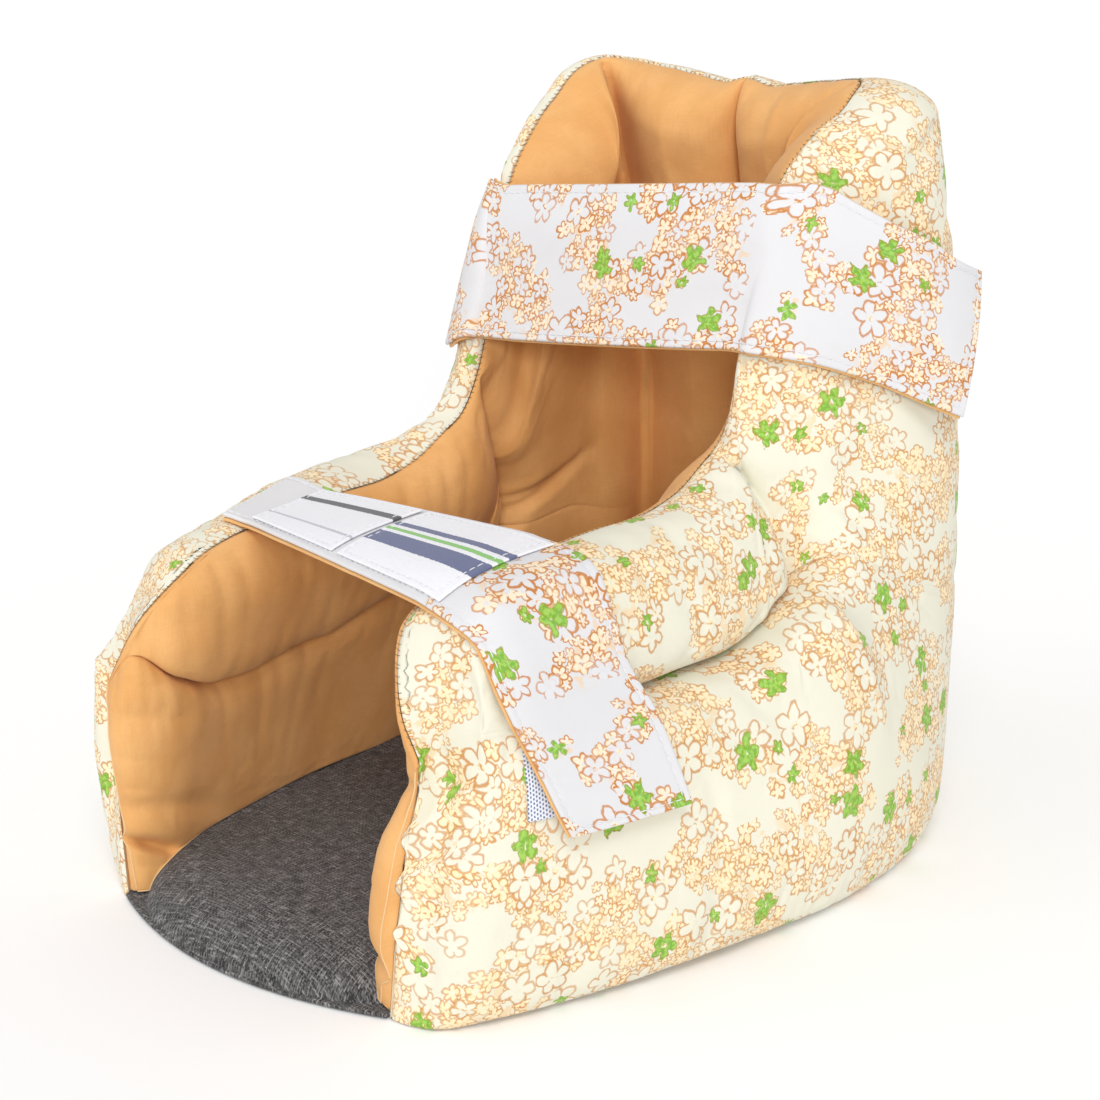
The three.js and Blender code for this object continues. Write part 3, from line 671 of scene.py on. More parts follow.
def creases(cloth, at, up, points):
    """Settling of a face, limited and faded, on the full grid."""
    near = seam_distance(cloth, at, up)
    pins = 1 - smooth(near[::2, ::2], 0.5, 1.5)
    pins[[0, -1]] = 1
    pins[:, [0, -1]] = 1
    moved = settled(points[::2, ::2], pins, -OUT[cloth])
    out = square(at[::2, ::2], up[::2, ::2]) * OUT[cloth]
    height = (moved * out).sum(-1)
    height = height - blurred(height, 9)
    height = np.where(height > 0, MOST_OUT * np.tanh(height / MOST_OUT), height)
    height = np.where(height < 0, MOST_IN * np.tanh(height / MOST_IN), height)
    fine = between(out * (CREASE_SHARE[cloth] * height)[..., None])
    return fine * smooth(near, 0, SETTLE_FADE)[..., None]


def blurred(values, rounds):
    """Values of a grid evened out with their neighbours."""
    for _ in range(rounds):
        padded = np.pad(values, 1, mode="edge")
        values = (padded[:-2, 1:-1] + padded[2:, 1:-1] + padded[1:-1, :-2] + padded[1:-1, 2:]) / 4
    return values


print("settling fades within", SETTLE_FADE, "mm of a seam")

# %% [markdown]
# Shell and lining meet at the rim and at the toe edge in a sewn groove: each rolls over its edge
# and dives a millimetre into the seam. A few more rows and columns draw that lip. Behind it the
# hidden face closes the pad, with far fewer rows, since nobody sees it.

# %% Close a pad
LIP_DIP = 1.0
HIDDEN_STEP = 14
NEAR_TOE_RECESS = {
    "height": (30, 42, 59, 67, 76, 84, 94, 104, 125), "deep": (0, 2, 3, 6, 8.5, 8, 5, 4, 1),
    "y": (-130, -95), "beyond_x": 20,
}


def lip(edge, seam, dive):
    """Rows of points that roll from an edge over into the seam beside it."""
    turns = np.linspace(0, math.pi / 2, LIP + 1)[1:]
    return [edge + (seam - edge) * math.sin(t) + dive * LIP_DIP * (1 - math.cos(t)) for t in turns]


def with_lips(cloth, at, up, points):
    """A face with its rolled edges, and the hidden face of the same columns."""
    hidden = hidden_face(cloth, at, up)
    down = unit(hidden[:, -6] - hidden[:, -1])
    rows = lip(points[:, -1], hidden[:, -1], down)
    points = np.concatenate([points, np.stack(rows, 1)], 1)
    hidden = np.concatenate([hidden, np.stack([rows[-1]] * LIP, 1)], 1)
    back = unit(hidden[-6] - hidden[-1])
    columns = lip(points[-1], hidden[-1], back)
    points = np.concatenate([points, np.stack(columns, 0)], 0)
    hidden = np.concatenate([hidden, np.stack([columns[-1]] * LIP, 0)], 0)
    return points, hidden


def recess(points):
    """How far the near toe edge is pulled back under its upper puff."""
    deep = np.interp(points[..., 2], NEAR_TOE_RECESS["height"], NEAR_TOE_RECESS["deep"])
    at_toe = 1 - smooth(points[..., 1], *NEAR_TOE_RECESS["y"])
    return deep * at_toe * (points[..., 0] > NEAR_TOE_RECESS["beyond_x"])


def leaned(points):
    """Points with the lean of the filled boot, in metres in the frame."""
    side = np.clip(points[..., 0] / LEAN["half_width"], -1, 1)
    high = smooth(points[..., 2], *LEAN["z"])
    front = 1 - smooth(points[..., 1], *LEAN["y"])
    rise = LEAN["rise"] * side * high * front
    return (points + np.stack([0 * rise, LENGTH_SHIFT + recess(points), rise], -1)) * MM


def add_piece(name, points, faces, places=None):
    """A closed piece with smooth faces turned outwards; places are where the cloth lay flat."""
    mesh = bpy.data.meshes.new(name)
    mesh.from_pydata(leaned(points).tolist(), [], faces)
    flat = np.zeros((len(points), 3))
    if places is not None:
        flat[:, :2] = places * MM
    mesh.attributes.new("cloth", "FLOAT_VECTOR", "POINT").data.foreach_set("vector", flat.ravel())
    form = bmesh.new()
    form.from_mesh(mesh)
    bmesh.ops.delete(form, geom=[v for v in form.verts if not v.link_faces], context="VERTS")
    bmesh.ops.recalc_face_normals(form, faces=form.faces)
    form.to_mesh(mesh)
    form.free()
    mesh.shade_smooth()
    thing = bpy.data.objects.new(name, mesh)
    bpy.context.scene.collection.objects.link(thing)
    return thing


def ring(*numbers):
    """One face from the numbers of its points."""
    return [int(k) for k in numbers]


def closed_pad(points, hidden):
    """Vertices and faces of a pad: its face, its hidden face and the strips between them."""
    columns, rows = points.shape[:2]
    front = np.arange(columns * rows).reshape(columns, rows)
    kept = sorted({*range(0, rows, HIDDEN_STEP), rows - 1})
    back = columns * rows + np.arange((columns - 1) * (len(kept) - 1)).reshape(columns - 1, -1)
    faces = quads(front).tolist()
    behind = front[:, kept].copy()
    behind[:-1, :-1] = back
    for k in range(len(kept) - 1):
        run = slice(kept[k], kept[k + 1] + 1)
        for i in range(columns - 2):
            faces.append(ring(behind[i, k], behind[i, k + 1], behind[i + 1, k + 1], behind[i + 1, k]))
        corner = [behind[0, k + 1]] if k + 2 < len(kept) else []
        faces.append(ring(*front[0, run], *corner, behind[0, k]))
        faces.append(ring(*front[-1, run][::-1], behind[-2, k], behind[-2, k + 1]))
    for i in range(columns - 2):
        faces.append(ring(front[i, 0], behind[i, 0], behind[i + 1, 0], front[i + 1, 0]))
    faces.append(ring(front[-2, 0], behind[-2, 0], front[-1, 0]))
    return np.concatenate([points.reshape(-1, 3), hidden[:-1][:, kept[:-1]].reshape(-1, 3)]), faces


print("lip of", LIP, "rows")

# %% [markdown]
# ## Cloth laid flat for its print
# The printed flowers must not stretch where the pad swells, so Blender unwraps the shell's face
# like a skin laid flat. The result is scaled back to real millimetres and turned upright, and is
# kept on the mesh as where each point lay on the cloth. The print is drawn from that.

# %% Lay a face flat
def laid_flat(points):
    """Places on the flat cloth, in millimetres, for every point of a face."""
    coarse = points[::2, ::2]
    columns, rows = coarse.shape[:2]
    thing = bpy.data.objects.new("flat", sheet_mesh("flat", coarse))
    bpy.context.scene.collection.objects.link(thing)
    bpy.context.view_layer.objects.active = thing
    thing.select_set(True)
    bpy.ops.object.mode_set(mode="EDIT")
    bpy.ops.mesh.select_all(action="SELECT")
    bpy.ops.uv.unwrap(method="MINIMUM_STRETCH", fill_holes=False, margin=0)
    bpy.ops.uv.select_all(action="SELECT")
    bpy.ops.uv.minimize_stretch(iterations=60)
    bpy.ops.object.mode_set(mode="OBJECT")
    mesh = thing.data
    corner = np.zeros(len(mesh.loops), int)
    mesh.loops.foreach_get("vertex_index", corner)
    spots = np.zeros(2 * len(mesh.loops))
    mesh.uv_layers.active.data.foreach_get("uv", spots)
    flat = np.zeros((columns * rows, 2))
    flat[corner] = spots.reshape(-1, 2)
    flat = flat.reshape(columns, rows, 2)
    bpy.data.objects.remove(thing)
    return between(turned_upright(coarse, flat))


def turned_upright(points, flat):
    """Flat places at real size, with the cloth's length upright."""
    real = np.linalg.norm(points[:, 1:] - points[:, :-1], axis=-1).sum()
    upright = flat[:, 1:] - flat[:, :-1]
    size = real / np.linalg.norm(upright, axis=-1).sum()
    way = upright.sum((0, 1))
    way = way / np.linalg.norm(way)
    across = np.array([way[1], -way[0]])
    return size * np.stack([flat @ across, flat @ way], -1)


# %% [markdown]
# ## The two straps as drawn surfaces
# A strap lies on the shell, so its underside is drawn through points found on the shell itself:
# at each stop of its route the height is searched on the near wall, and the point is lifted by the
# clearance. Five lines across its width carry the whole strap. The upper strap leans over the
# opening of the leg from the far wall; the lower one bridges the foot from rim to rim and drops.

# %% Points on the shell
def off_shell(side, at, up, lift):
    """Point of a wall's shell lifted square off it, drawn on the near side."""
    step = 0.01
    at, up = np.asarray(at, float), np.asarray(up, float)
    before, after = np.clip(at - step, 0, 1), np.clip(at + step, 0, 1)
    lower, upper = np.clip(up - step, 0, 1), np.clip(up + step, 0, 1)
    ahead = face(side, "shell", after, up) - face(side, "shell", before, up)
    above = face(side, "shell", at, upper) - face(side, "shell", at, lower)
    return face(side, "shell", at, up) + unit(np.cross(above, ahead)) * lift


def turning_point(low, high, test):
    """Where a test that holds at low and fails at high turns, found by halving."""
    for _ in range(30):
        half = (low + high) / 2
        holds = test(half)
        low, high = np.where(holds, half, low), np.where(holds, high, half)
    return low


def on_shell(side, at, z, lift):
    """The same at a height of the wall."""
    up = turning_point(0 * at, 0 * at + 1, lambda up: face(side, "shell", at, up)[..., 2] < z)
    return off_shell(side, at, up, lift)


def front_rim_at(z):
    """Place along the wall where the leg's front rim reaches a height."""
    return turning_point(0 * z + 0.22, 0 * z + 0.9, lambda at: along("rimZ", at) > z)


def other_side(points, side):
    """Mirrors points drawn on the near side over to the far side."""
    return points * np.array([SIDES[side], 1, 1])


print("rim reaches 200 mm at", front_rim_at(np.array([200.0])).round(3))

# %% Routes of the straps
LEVELS = 5
STRAP_FACING = 1.0
STRAP_CLOTH = 1.6

# side, at, slant, middle height, height covered, lift
UPPER_ROUTE = [
    ("far", 0.270, 0.6, 199, 58, 1.5), ("far", 0.320, 0.7, 200, 59, 1.5),
    ("far", 0.370, 0.8, 202, 60, 1.5), ("far", 0.405, 0.9, 204, 60, 1.5),
    ("far", 0.435, 1.0, 207, 59, 1.8), ("far", 0.453, 1.0, 208.5, 58.5, 1.8),
    ("near", 0.430, 1.0, 211, 58, 2.4), ("near", 0.395, 0.9, 210, 57, 2.2),
    ("near", 0.360, 0.7, 207, 56, 2.2), ("near", 0.320, 0.6, 202, 54, 2.4),
    ("near", 0.285, 0.5, 197, 52, 3.2), ("near", 0.257, 0.4, 190, 50, 5.5),
    ("near", 0.234, 0.4, 184, 49, 9.0),
]
UPPER_RIM_LIFT = {"far": np.array([1.5, -3.2, 0.0]), "near": np.array([5.0, -4.5, 0.0])}
UPPER_ARCH = 4
UPPER_SPAN = 5

# front and rear edge along the wall, lift; the crest by up, the drop by height
LOWER_END = [((0.991, 0.982), 0.6), ((0.996, 0.992), 0.6)]
LOWER_FAR = (0.835, 0.75, 0.9)
LOWER_CREST = [(1.00, 0.905, 0.785, 3.0), (0.93, 0.903, 0.784, 3.4)]
LOWER_DROP = [
    (118, 0.898, 0.780, 2.4), (104, 0.890, 0.771, 2.6), (88, 0.872, 0.752, 3.2),
    (73, 0.853, 0.740, 3.8), (60, 0.836, 0.730, 4.4),
]
LOWER_HUMP = 0.5
LOWER_SPAN = 5
SEAM_BRIDGE = (106, 66)


def upper_lines():
    """Control points of the upper strap, one row of them for each stop."""
    share = np.linspace(-0.5, 0.5, LEVELS)
    rows = []
    for k, (side, at, slant, centre, tall, lift) in enumerate(UPPER_ROUTE):
        z = centre + tall * share
        place = at + slant * (front_rim_at(z) - front_rim_at(0 * z + centre))
        if k and UPPER_ROUTE[k - 1][0] != side:
            before = UPPER_ROUTE[k - 1]
            old_z = before[3] + before[4] * share
            start = other_side(middle(front_rim_at(old_z), 1.0) + UPPER_RIM_LIFT[before[0]], before[0])
            end = other_side(middle(front_rim_at(z), 1.0) + UPPER_RIM_LIFT[side], side)
            for t in np.linspace(0, 1, UPPER_SPAN + 1):
                rows.append(start + (end - start) * t - np.array([0, UPPER_ARCH * 4 * t * (1 - t), 0]))
        rows.append(other_side(on_shell(side, place, z, lift), side))
    return np.stack(rows)


def over_bridge(at, z, lift):
    """Point on the shell, or straight across the dip of the side seam."""
    top, bottom = SEAM_BRIDGE
    if not bottom < z < top:
        return on_shell("near", at, z, lift)
    share = (top - z) / (top - bottom)
    return on_shell("near", at, top, lift) * (1 - share) + on_shell("near", at, bottom, lift) * share


def lower_lines():
    """Control points of the lower strap, one row of them for each stop."""
    share = np.linspace(0, 1, LEVELS)
    far_at = LOWER_FAR[0] + (LOWER_FAR[1] - LOWER_FAR[0]) * share
    far = other_side(middle(far_at, 1.0), "far")
    far = far + np.array([2, 0, LOWER_FAR[2]])
    up, front, rear, lift = LOWER_CREST[0]
    near = middle(front + (rear - front) * share, up) + np.array([0, 0, lift])
    rows = []
    for (front, rear), end_lift in LOWER_END:
        rows.append(other_side(off_shell("far", far_at, front + (rear - front) * share, end_lift), "far"))
    for t in np.linspace(0, 1, LOWER_SPAN + 1):
        rows.append(far + (near - far) * t + np.array([0, 0, LOWER_HUMP * 4 * t * (1 - t)]))
    for up, front, rear, lift in LOWER_CREST[1:]:
        rows.append(off_shell("near", front + (rear - front) * share, up + 0 * share, lift))
    for z, front, rear, lift in LOWER_DROP:
        rows.append(over_bridge(front + (rear - front) * share, z, lift))
    return np.stack(rows)


print("straps run through", len(upper_lines()), "and", len(lower_lines()), "rows of points")

# %% [markdown]
# Between the stops a strap runs as a smooth curve that never overshoots, the centripetal kind.
# The same surface also tells which way is out, so both cloths of the strap, its labels and every
# stitch can be set at their own height above it.

# %% Smooth surface of a strap
def through(rows, s):
    """Points at shares s of a centripetal curve through rows of points."""
    rows = np.concatenate([2 * rows[:1] - rows[1:2], rows, 2 * rows[-1:] - rows[-2:-1]])
    place = np.clip(s, 0, 1) * (len(rows) - 3)
    k = np.minimum(np.floor(place).astype(int), len(rows) - 4)
    t = (place - k)[:, None, None]
    a, b, c, d = rows[k], rows[k + 1], rows[k + 2], rows[k + 3]
    ab = np.sqrt(np.linalg.norm(b - a, axis=-1, keepdims=True))
    bc = np.sqrt(np.linalg.norm(c - b, axis=-1, keepdims=True))
    cd = np.sqrt(np.linalg.norm(d - c, axis=-1, keepdims=True))
    start = bc * ((b - a) / ab - (c - a) / (ab + bc) + (c - b) / bc)
    end = bc * ((c - b) / bc - (d - b) / (bc + cd) + (d - c) / cd)
    return (
        (2 * t**3 - 3 * t**2 + 1) * b + (t**3 - 2 * t**2 + t) * start
        + (3 * t**2 - 2 * t**3) * c + (t**3 - t**2) * end
    )


class Strap:
    """Underside of a strap: s runs along it and w across it, both from 0 to 1."""

    def __init__(self, rows, steps=240, across=25):
        self.s = np.linspace(0, 1, steps)
        self.w = np.linspace(0, 1, across)
        lines = through(rows, self.s).swapaxes(0, 1)
        grid = through(lines, self.w).swapaxes(0, 1)
        run = np.gradient(grid, axis=0)
        over = np.gradient(grid, axis=1)
        self.grid = grid
        self.out = unit(np.cross(run, over))
        self.width = np.linalg.norm(np.diff(grid, axis=1), axis=-1).sum(1)
        self.run_mm = run_along(grid[:, across // 2])
        self.length = np.linalg.norm(np.diff(grid[:, across // 2], axis=0), axis=-1).sum()

    def read(self, field, s, w):
        """A field of the surface at any s and w."""
        i = np.clip(s, 0, 1) * (len(self.s) - 1)
        j = np.clip(w, 0, 1) * (len(self.w) - 1)
        i0 = np.minimum(i.astype(int), len(self.s) - 2)
        j0 = np.minimum(j.astype(int), len(self.w) - 2)
        di, dj = (i - i0)[..., None], (j - j0)[..., None]
        near = field[i0, j0] * (1 - dj) + field[i0, j0 + 1] * dj
        far = field[i0 + 1, j0] * (1 - dj) + field[i0 + 1, j0 + 1] * dj
        return near * (1 - di) + far * di

    def point(self, s, w, height):
        """Point at a height above the underside, in millimetres."""
        s, w, height = np.broadcast_arrays(s, w, height)
        return self.read(self.grid, s, w) + unit(self.read(self.out, s, w)) * height[..., None]

    def flat(self, s, w):
        """Place of a point on the cloth laid flat, in millimetres."""
        s, w = np.broadcast_arrays(s, w)
        return np.stack([np.interp(s, self.s, self.run_mm), (w - 0.5) * self.width.mean()], -1)


UPPER = Strap(upper_lines())
LOWER = Strap(lower_lines())
for name, strap in (("upper", UPPER), ("lower", LOWER)):
    narrow, wide = strap.width.min().round(), strap.width.max().round()
    print(name, "strap", round(strap.length), "mm long,", narrow, "to", wide, "wide")

# %% [markdown]
# ## A stitched strip of cloth
# Straps, their facings and the labels are the same kind of thing: a flat strip, turned in at its
# edges and topstitched near them. It is drawn as two faces that meet along a rounded edge. The
# topstitching sinks a shallow groove and draws up small puckers on either side of it.

# %% Strip of cloth on a strap
STRIP_COLUMNS = 260
STRIP_ROWS = 60
FACING_SHOWS = (0.010, 0.990)


def strip(name, strap, low, high, span=(0, 1), cover=(0, 1), margin=3.0, groove=0.25, seed=1):
    """Strip between two heights above a strap's underside, with rounded edges."""
    length = (span[1] - span[0]) * strap.length
    width = (cover[1] - cover[0]) * strap.width.mean()
    columns = max(24, int(STRIP_COLUMNS * (span[1] - span[0])))
    s = crowded(columns, 0.93, 0.93, 4 / length)[:, None]
    w = crowded(STRIP_ROWS, 0.85, 0.85, 0.06)[None]
    to_end = np.minimum(s, 1 - s) * length
    to_side = np.minimum(w, 1 - w) * width
    edge = np.minimum(to_end, to_side)
    thick = (high - low) / 2
    swell = thick * dome(edge, thick)
    s, w = np.broadcast_arrays(span[0] + s * (span[1] - span[0]), cover[0] + w * (cover[1] - cover[0]))
    flat = strap.flat(s, w)
    seam = np.exp(-(((edge - margin) / 0.55) ** 2))
    pucker = ripple(flat[..., 0] / 2.6, flat[..., 1] / 2.6, seed) * np.exp(-np.abs(edge - margin) / 2.2)
    swell_top = swell - dome(edge, thick * 2) * groove * (seam - 0.35 * pucker)
    ease = dome(edge, thick * 2) * ripple(flat[..., 0] / 23, flat[..., 1] / 19, seed + 5)
    top = strap.point(s, w, (high + low) / 2 + swell_top + 0.12 * ease)
    bottom = strap.point(s, w, (high + low) / 2 - swell)
    return add_piece(name, *two_faced(top, bottom), np.concatenate([flat.reshape(-1, 2)] * 2))


def two_faced(top, bottom):
    """Points and faces of a thing whose top and bottom grids share their border."""
    columns, rows = top.shape[:2]
    above = np.arange(columns * rows).reshape(columns, rows)
    below = above + columns * rows
    below[[0, -1]] = above[[0, -1]]
    below[:, [0, -1]] = above[:, [0, -1]]
    faces = quads(above).tolist() + quads(below)[:, ::-1].tolist()
    return np.concatenate([top.reshape(-1, 3), bottom.reshape(-1, 3)]), faces


def closed_grids(top, bottom):
    """Points and faces of a body between two grids of the same size."""
    columns, rows = top.shape[:2]
    above = np.arange(columns * rows).reshape(columns, rows)
    below = above + columns * rows
    faces = quads(above).tolist() + quads(below).tolist()
    for border in ((slice(None), 0), (slice(None), -1), 0, -1):
        one, other = above[border], below[border]
        faces += np.stack([one[:-1], one[1:], other[1:], other[:-1]], -1).tolist()
    return np.concatenate([top.reshape(-1, 3), bottom.reshape(-1, 3)]), faces


print("strips have", STRIP_COLUMNS, "by", STRIP_ROWS, "points a face")

# %% [markdown]
# ## Thread and piping
# Stitches are real thread: short rods that lie half in the cloth, their rows gathered into one object
# for each strap, one for the labels and one for the rim, so that they stay easy to select. Piping is
# the same rod run along a whole edge. Both come from one helper that sweeps a small ring along a line of
# points.

# %% Sweep a thread
STITCH_LONG = 2.6
STITCH_GAP = 0.9


def rod(line, radius, sides=6):
    """Points and faces of a rounded rod along a line of points."""
    run = unit(np.gradient(line, axis=0))
    side = unit(np.cross(run, [0.31, 0.17, 0.93]))
    over = np.cross(run, side)
    turn = np.linspace(0, 2 * math.pi, sides, endpoint=False)
    ring = side[:, None] * np.cos(turn)[None, :, None] + over[:, None] * np.sin(turn)[None, :, None]
    thin = np.ones(len(line))
    thin[[0, -1]] = 0.45
    points = (line[:, None] + ring * (radius * thin)[:, None, None]).reshape(-1, 3)
    faces = []
    for k in range(len(line) - 1):
        for j in range(sides):
            nxt = (j + 1) % sides
            faces.append([k * sides + j, k * sides + nxt, (k + 1) * sides + nxt, (k + 1) * sides + j])
    faces.append(list(range(sides))[::-1])
    faces.append([(len(line) - 1) * sides + j for j in range(sides)])
    return points, faces


def threads(name, lines, radius, sides=6):
    """One piece made of many rods."""
    all_points, all_faces, count = [], [], 0
    for line in lines:
        points, faces = rod(line, radius, sides)
        all_points.append(points)
        all_faces += [[k + count for k in f] for f in faces]
        count += len(points)
    return add_piece(name, np.concatenate(all_points), all_faces)


def stitch_row(strap, s, w, height):
    """Stitches along a path on a strap, as short arched lines."""
    run = run_along(strap.point(s, w, height))
    lines = []
    for start in np.arange(0, run[-1] - STITCH_LONG, STITCH_LONG + STITCH_GAP):
        spots = start + STITCH_LONG * np.linspace(0, 1, 5)
        place = np.interp(spots, run, np.linspace(0, 1, len(run)))
        rise = 0.16 * np.sin(np.linspace(0, math.pi, 5)) - 0.1
        share = np.linspace(0, 1, len(run))
        lines.append(strap.point(np.interp(place, share, s), np.interp(place, share, w), height + rise))
    return lines


def border_stitches(strap, height, margin, span=(0, 1), cover=(0, 1)):
    """Four rows of stitches a margin inside the edges of a strip."""
    ds = margin / strap.length
    dw = margin / strap.width.mean()
    s0, s1, w0, w1 = span[0] + ds, span[1] - ds, cover[0] + dw, cover[1] - dw
    t = np.linspace(0, 1, 200)
    rows = stitch_row(strap, s0 + (s1 - s0) * t, w0 + 0 * t, height)
    rows += stitch_row(strap, s0 + (s1 - s0) * t, w1 + 0 * t, height)
    rows += stitch_row(strap, s0 + 0 * t, w0 + (w1 - w0) * t, height)
    rows += stitch_row(strap, s1 + 0 * t, w0 + (w1 - w0) * t, height)
    return rows


print("thread helper ready")

# %% [markdown]
# ## The wall pads
# Four pads make the boot: a flowered shell and a caramel lining on either side. They meet at the
# centre of the back, along the rim and at the toe. The shell's flat places are worked out once on
# the near side and mirrored, shifted along the cloth so that the two sides show other flowers.

# %% Make the wall pads
PRINT_SHIFT = {"near": (0.0, 0.0), "far": (610.0, 240.0)}
SEEDS = {"near_shell": 21, "far_shell": 57, "near_lining": 83, "far_lining": 34}


def arc_places(points):
    """Rough flat places: lengths along the columns and rows of a face."""
    u = np.cumsum(np.linalg.norm(np.diff(points, axis=0, prepend=points[:1]), axis=-1).mean(1))
    v = np.cumsum(np.linalg.norm(np.diff(points, axis=1, prepend=points[:, :1]), axis=-1), axis=1)
    return np.stack([np.broadcast_to(u[:, None], v.shape), v], -1)


def wall_face(side, cloth, seed=None):
    """A wall's grid of places and its pleated and settled face."""
    at, up = wall_grid(cloth)
    drawn = face(side, cloth, at, up, seed)
    if seed is not None:
        drawn = above_floor(cloth, drawn + creases(cloth, at, up, drawn))
    return with_lips(cloth, at, up, drawn)


SHELL_FLAT = laid_flat(wall_face("near", "shell")[0])
FACES = {}
PADS = {}
for side, sign in SIDES.items():
    for cloth in OUT:
        name = side + "_" + cloth
        points, hidden = wall_face(side, cloth, SEEDS[name])
        places = SHELL_FLAT + np.array(PRINT_SHIFT[side]) if cloth == "shell" else arc_places(points)
        vertices, faces = closed_pad(points, hidden)
        flat = np.zeros((len(vertices), 2))
        flat[: places[..., 0].size] = places.reshape(-1, 2)
        FACES[name] = points * [sign, 1, 1]
        PADS[name] = add_piece(name + "_pad", vertices * [sign, 1, 1], faces, flat)
        print(name, len(vertices), "points")

# %% [markdown]
# The seams themselves carry thread and piping. The rim is overlocked with a fine brown thread that
# binds shell and lining. The lining's toe edge and its foot seam over the bed carry a fine cord,
# and a cord sunk in the back seams closes the hairline between the left and right pads.

# %% Overlock and piping
OVERLOCK_PITCH = 2.3
OVERLOCK_REACH = 1.0
OVERLOCK_LEAN = 0.5
OVERLOCK_RADIUS = 0.11
OVERLOCK_SEED = 12
PIPING_RADIUS = {"edge": 0.28, "back": 0.42}
BACK_PIPING_SINK = 0.45


def overlock(side):
    """Stitches over the rim, a little uneven, as a machine leaves them on thick cloth."""
    rng = np.random.default_rng(OVERLOCK_SEED)
    line_at = np.linspace(0, 0.995, 400)
    points = middle(line_at, 1.0)
    run = run_along(points)
    across = np.linspace(-1, 1, 5)
    sink = 0.14 - 0.3 * (1 - across**2) ** 2
    lines = []
    for start in np.arange(3, run[-1] - 3, OVERLOCK_PITCH):
        shift, lean, reach = rng.uniform(-0.5, 0.5), rng.uniform(0.3, 1.6), rng.uniform(0.75, 1.15)
        place = start + shift + OVERLOCK_LEAN * lean * across
        at = np.interp(place, run, line_at)
        out = square(at, 1.0) * (OVERLOCK_REACH * reach * across)[:, None]
        edge = unit(middle(at, 1.0) - middle(at, 0.99)) * sink[:, None]
        lines.append((middle(at, 1.0) + out + edge) * [SIDES[side], 1, 1])
    return lines


def piping(side, cloth, column=None, row=None, sink=0.0):
    """Line along one column or row of a wall's face, a little inside the cloth."""
    points = FACES[side + "_" + cloth]
    line = points[column, :-LIP] if row is None else points[:-LIP, row]
    return line - np.array([0, 0, sink])


dark_lines, edge_lines = [], []
for side in SIDES:
    dark_lines += overlock(side)
    edge_lines.append(piping(side, "lining", column=-LIP - 1))
    edge_lines.append(piping(side, "lining", row=0, sink=0.1))
SEAMS = {
    "overlock_stitches": threads("overlock_stitches", dark_lines, OVERLOCK_RADIUS, 5),
    "lining_piping": threads("lining_piping", edge_lines, PIPING_RADIUS["edge"]),
}
for cloth in OUT:
    line = piping("near", cloth, column=0) * [0, 1, 1] - np.array([0, OUT[cloth] * BACK_PIPING_SINK, 0])
    name = cloth + "_back_piping"
    SEAMS[name] = threads(name, [line], PIPING_RADIUS["back"])
print("overlock", len(dark_lines), "stitches")

# %% [markdown]
# ## The foot bed
# A flat pad of charcoal canvas. Its sides lean with the walls, its top is a little crowned, and
# its front is a rounded, sewn edge that runs past the walls.

# %% Make the foot bed
BED_ROWS = 180
BED_FRONT_ROWS = 26
BED_ACROSS = 100
BED_CROWN_FADE = (30, 95)
# Slow waves of its top: height, length across, length along, seed
BED_WAVES = [(0.5, 31, 27, 5), (0.25, 13, 17, 6)]


def bed_grids():
    """Top and bottom of the foot bed."""
    share = 2 * crowded(BED_ACROSS, 0.6, 0.6, 0.08) - 1
    at = SOLE_BACK_AT + (1 - SOLE_BACK_AT) * np.linspace(0, 1, BED_ROWS + 1)
    at = np.append(at, np.ones(BED_FRONT_ROWS))
    forward = np.append(np.zeros(BED_ROWS + 1), crowded(BED_FRONT_ROWS, 0, 0.8, 0.2)[1:])[:, None]
    foot = middle(at, 0.0) - outward(at) * SOLE_INSET
    bed_up = sole_top(foot[:, 0], foot[:, 1]) / along("rimZ", at)
    bed = middle(at, bed_up) - outward(at) * SOLE_INSET
    front = sole_front(share)[None]
    top_y = bed[:, 1:2] * (1 - forward) + front * forward
    low_y = foot[:, 1:2] * (1 - forward) + front * forward
    crown = SOLE_CROWN * np.maximum(0, 1 - (share / SOLE_CROWN_REACH) ** 2)
    crown = crown[None] * (1 - smooth(bed[:, 1:2], *BED_CROWN_FADE))
    top_x = share[None] * bed[:, :1]
    height = sole_top(top_x, top_y)
    height = height + crown * height / SOLE_THICK
    waves = sum(tall * ripple(top_x / wide, top_y / long, seed) for tall, wide, long, seed in BED_WAVES)
    height = height + waves * smooth(height, 3, 9)
    top = np.stack([top_x, top_y, height], -1)
    bottom = np.stack([share[None] * foot[:, :1], low_y, 0 * height], -1)
    return top, bottom


def rolled_front(top, bottom):
    """Adds a half-round front edge between the last rows of both grids."""
    turns = np.linspace(0, math.pi / 2, 5)[1:]
    radius = SOLE_EDGE_THICK / 2
    rows_above, rows_below = [], []
    for t in turns:
        push = np.array([0, -radius * math.sin(t), 0])
        rows_above.append(top[-1] + push + np.array([0, 0, -radius * (1 - math.cos(t))]))
        rows_below.append(bottom[-1] + push + np.array([0, 0, radius * (1 - math.cos(t))]))
    return np.concatenate([top, rows_above]), np.concatenate([bottom, rows_below])


bed_top, bed_bottom = rolled_front(*bed_grids())
bed_points, bed_faces = closed_grids(bed_top, bed_bottom)
bed_places = np.concatenate([bed_top, bed_bottom])[..., :2].reshape(-1, 2)
FOOT_BED = add_piece("foot_bed_pad", bed_points, bed_faces, bed_places)
print("foot bed", len(bed_faces), "faces")

# %% [markdown]
# ## Straps, labels and hook tape
# Each strap is a flowered cloth on a caramel facing. Two woven labels are sewn on the lower strap
# where it bridges the foot, and a strip of hook tape peeps out under its loose end.

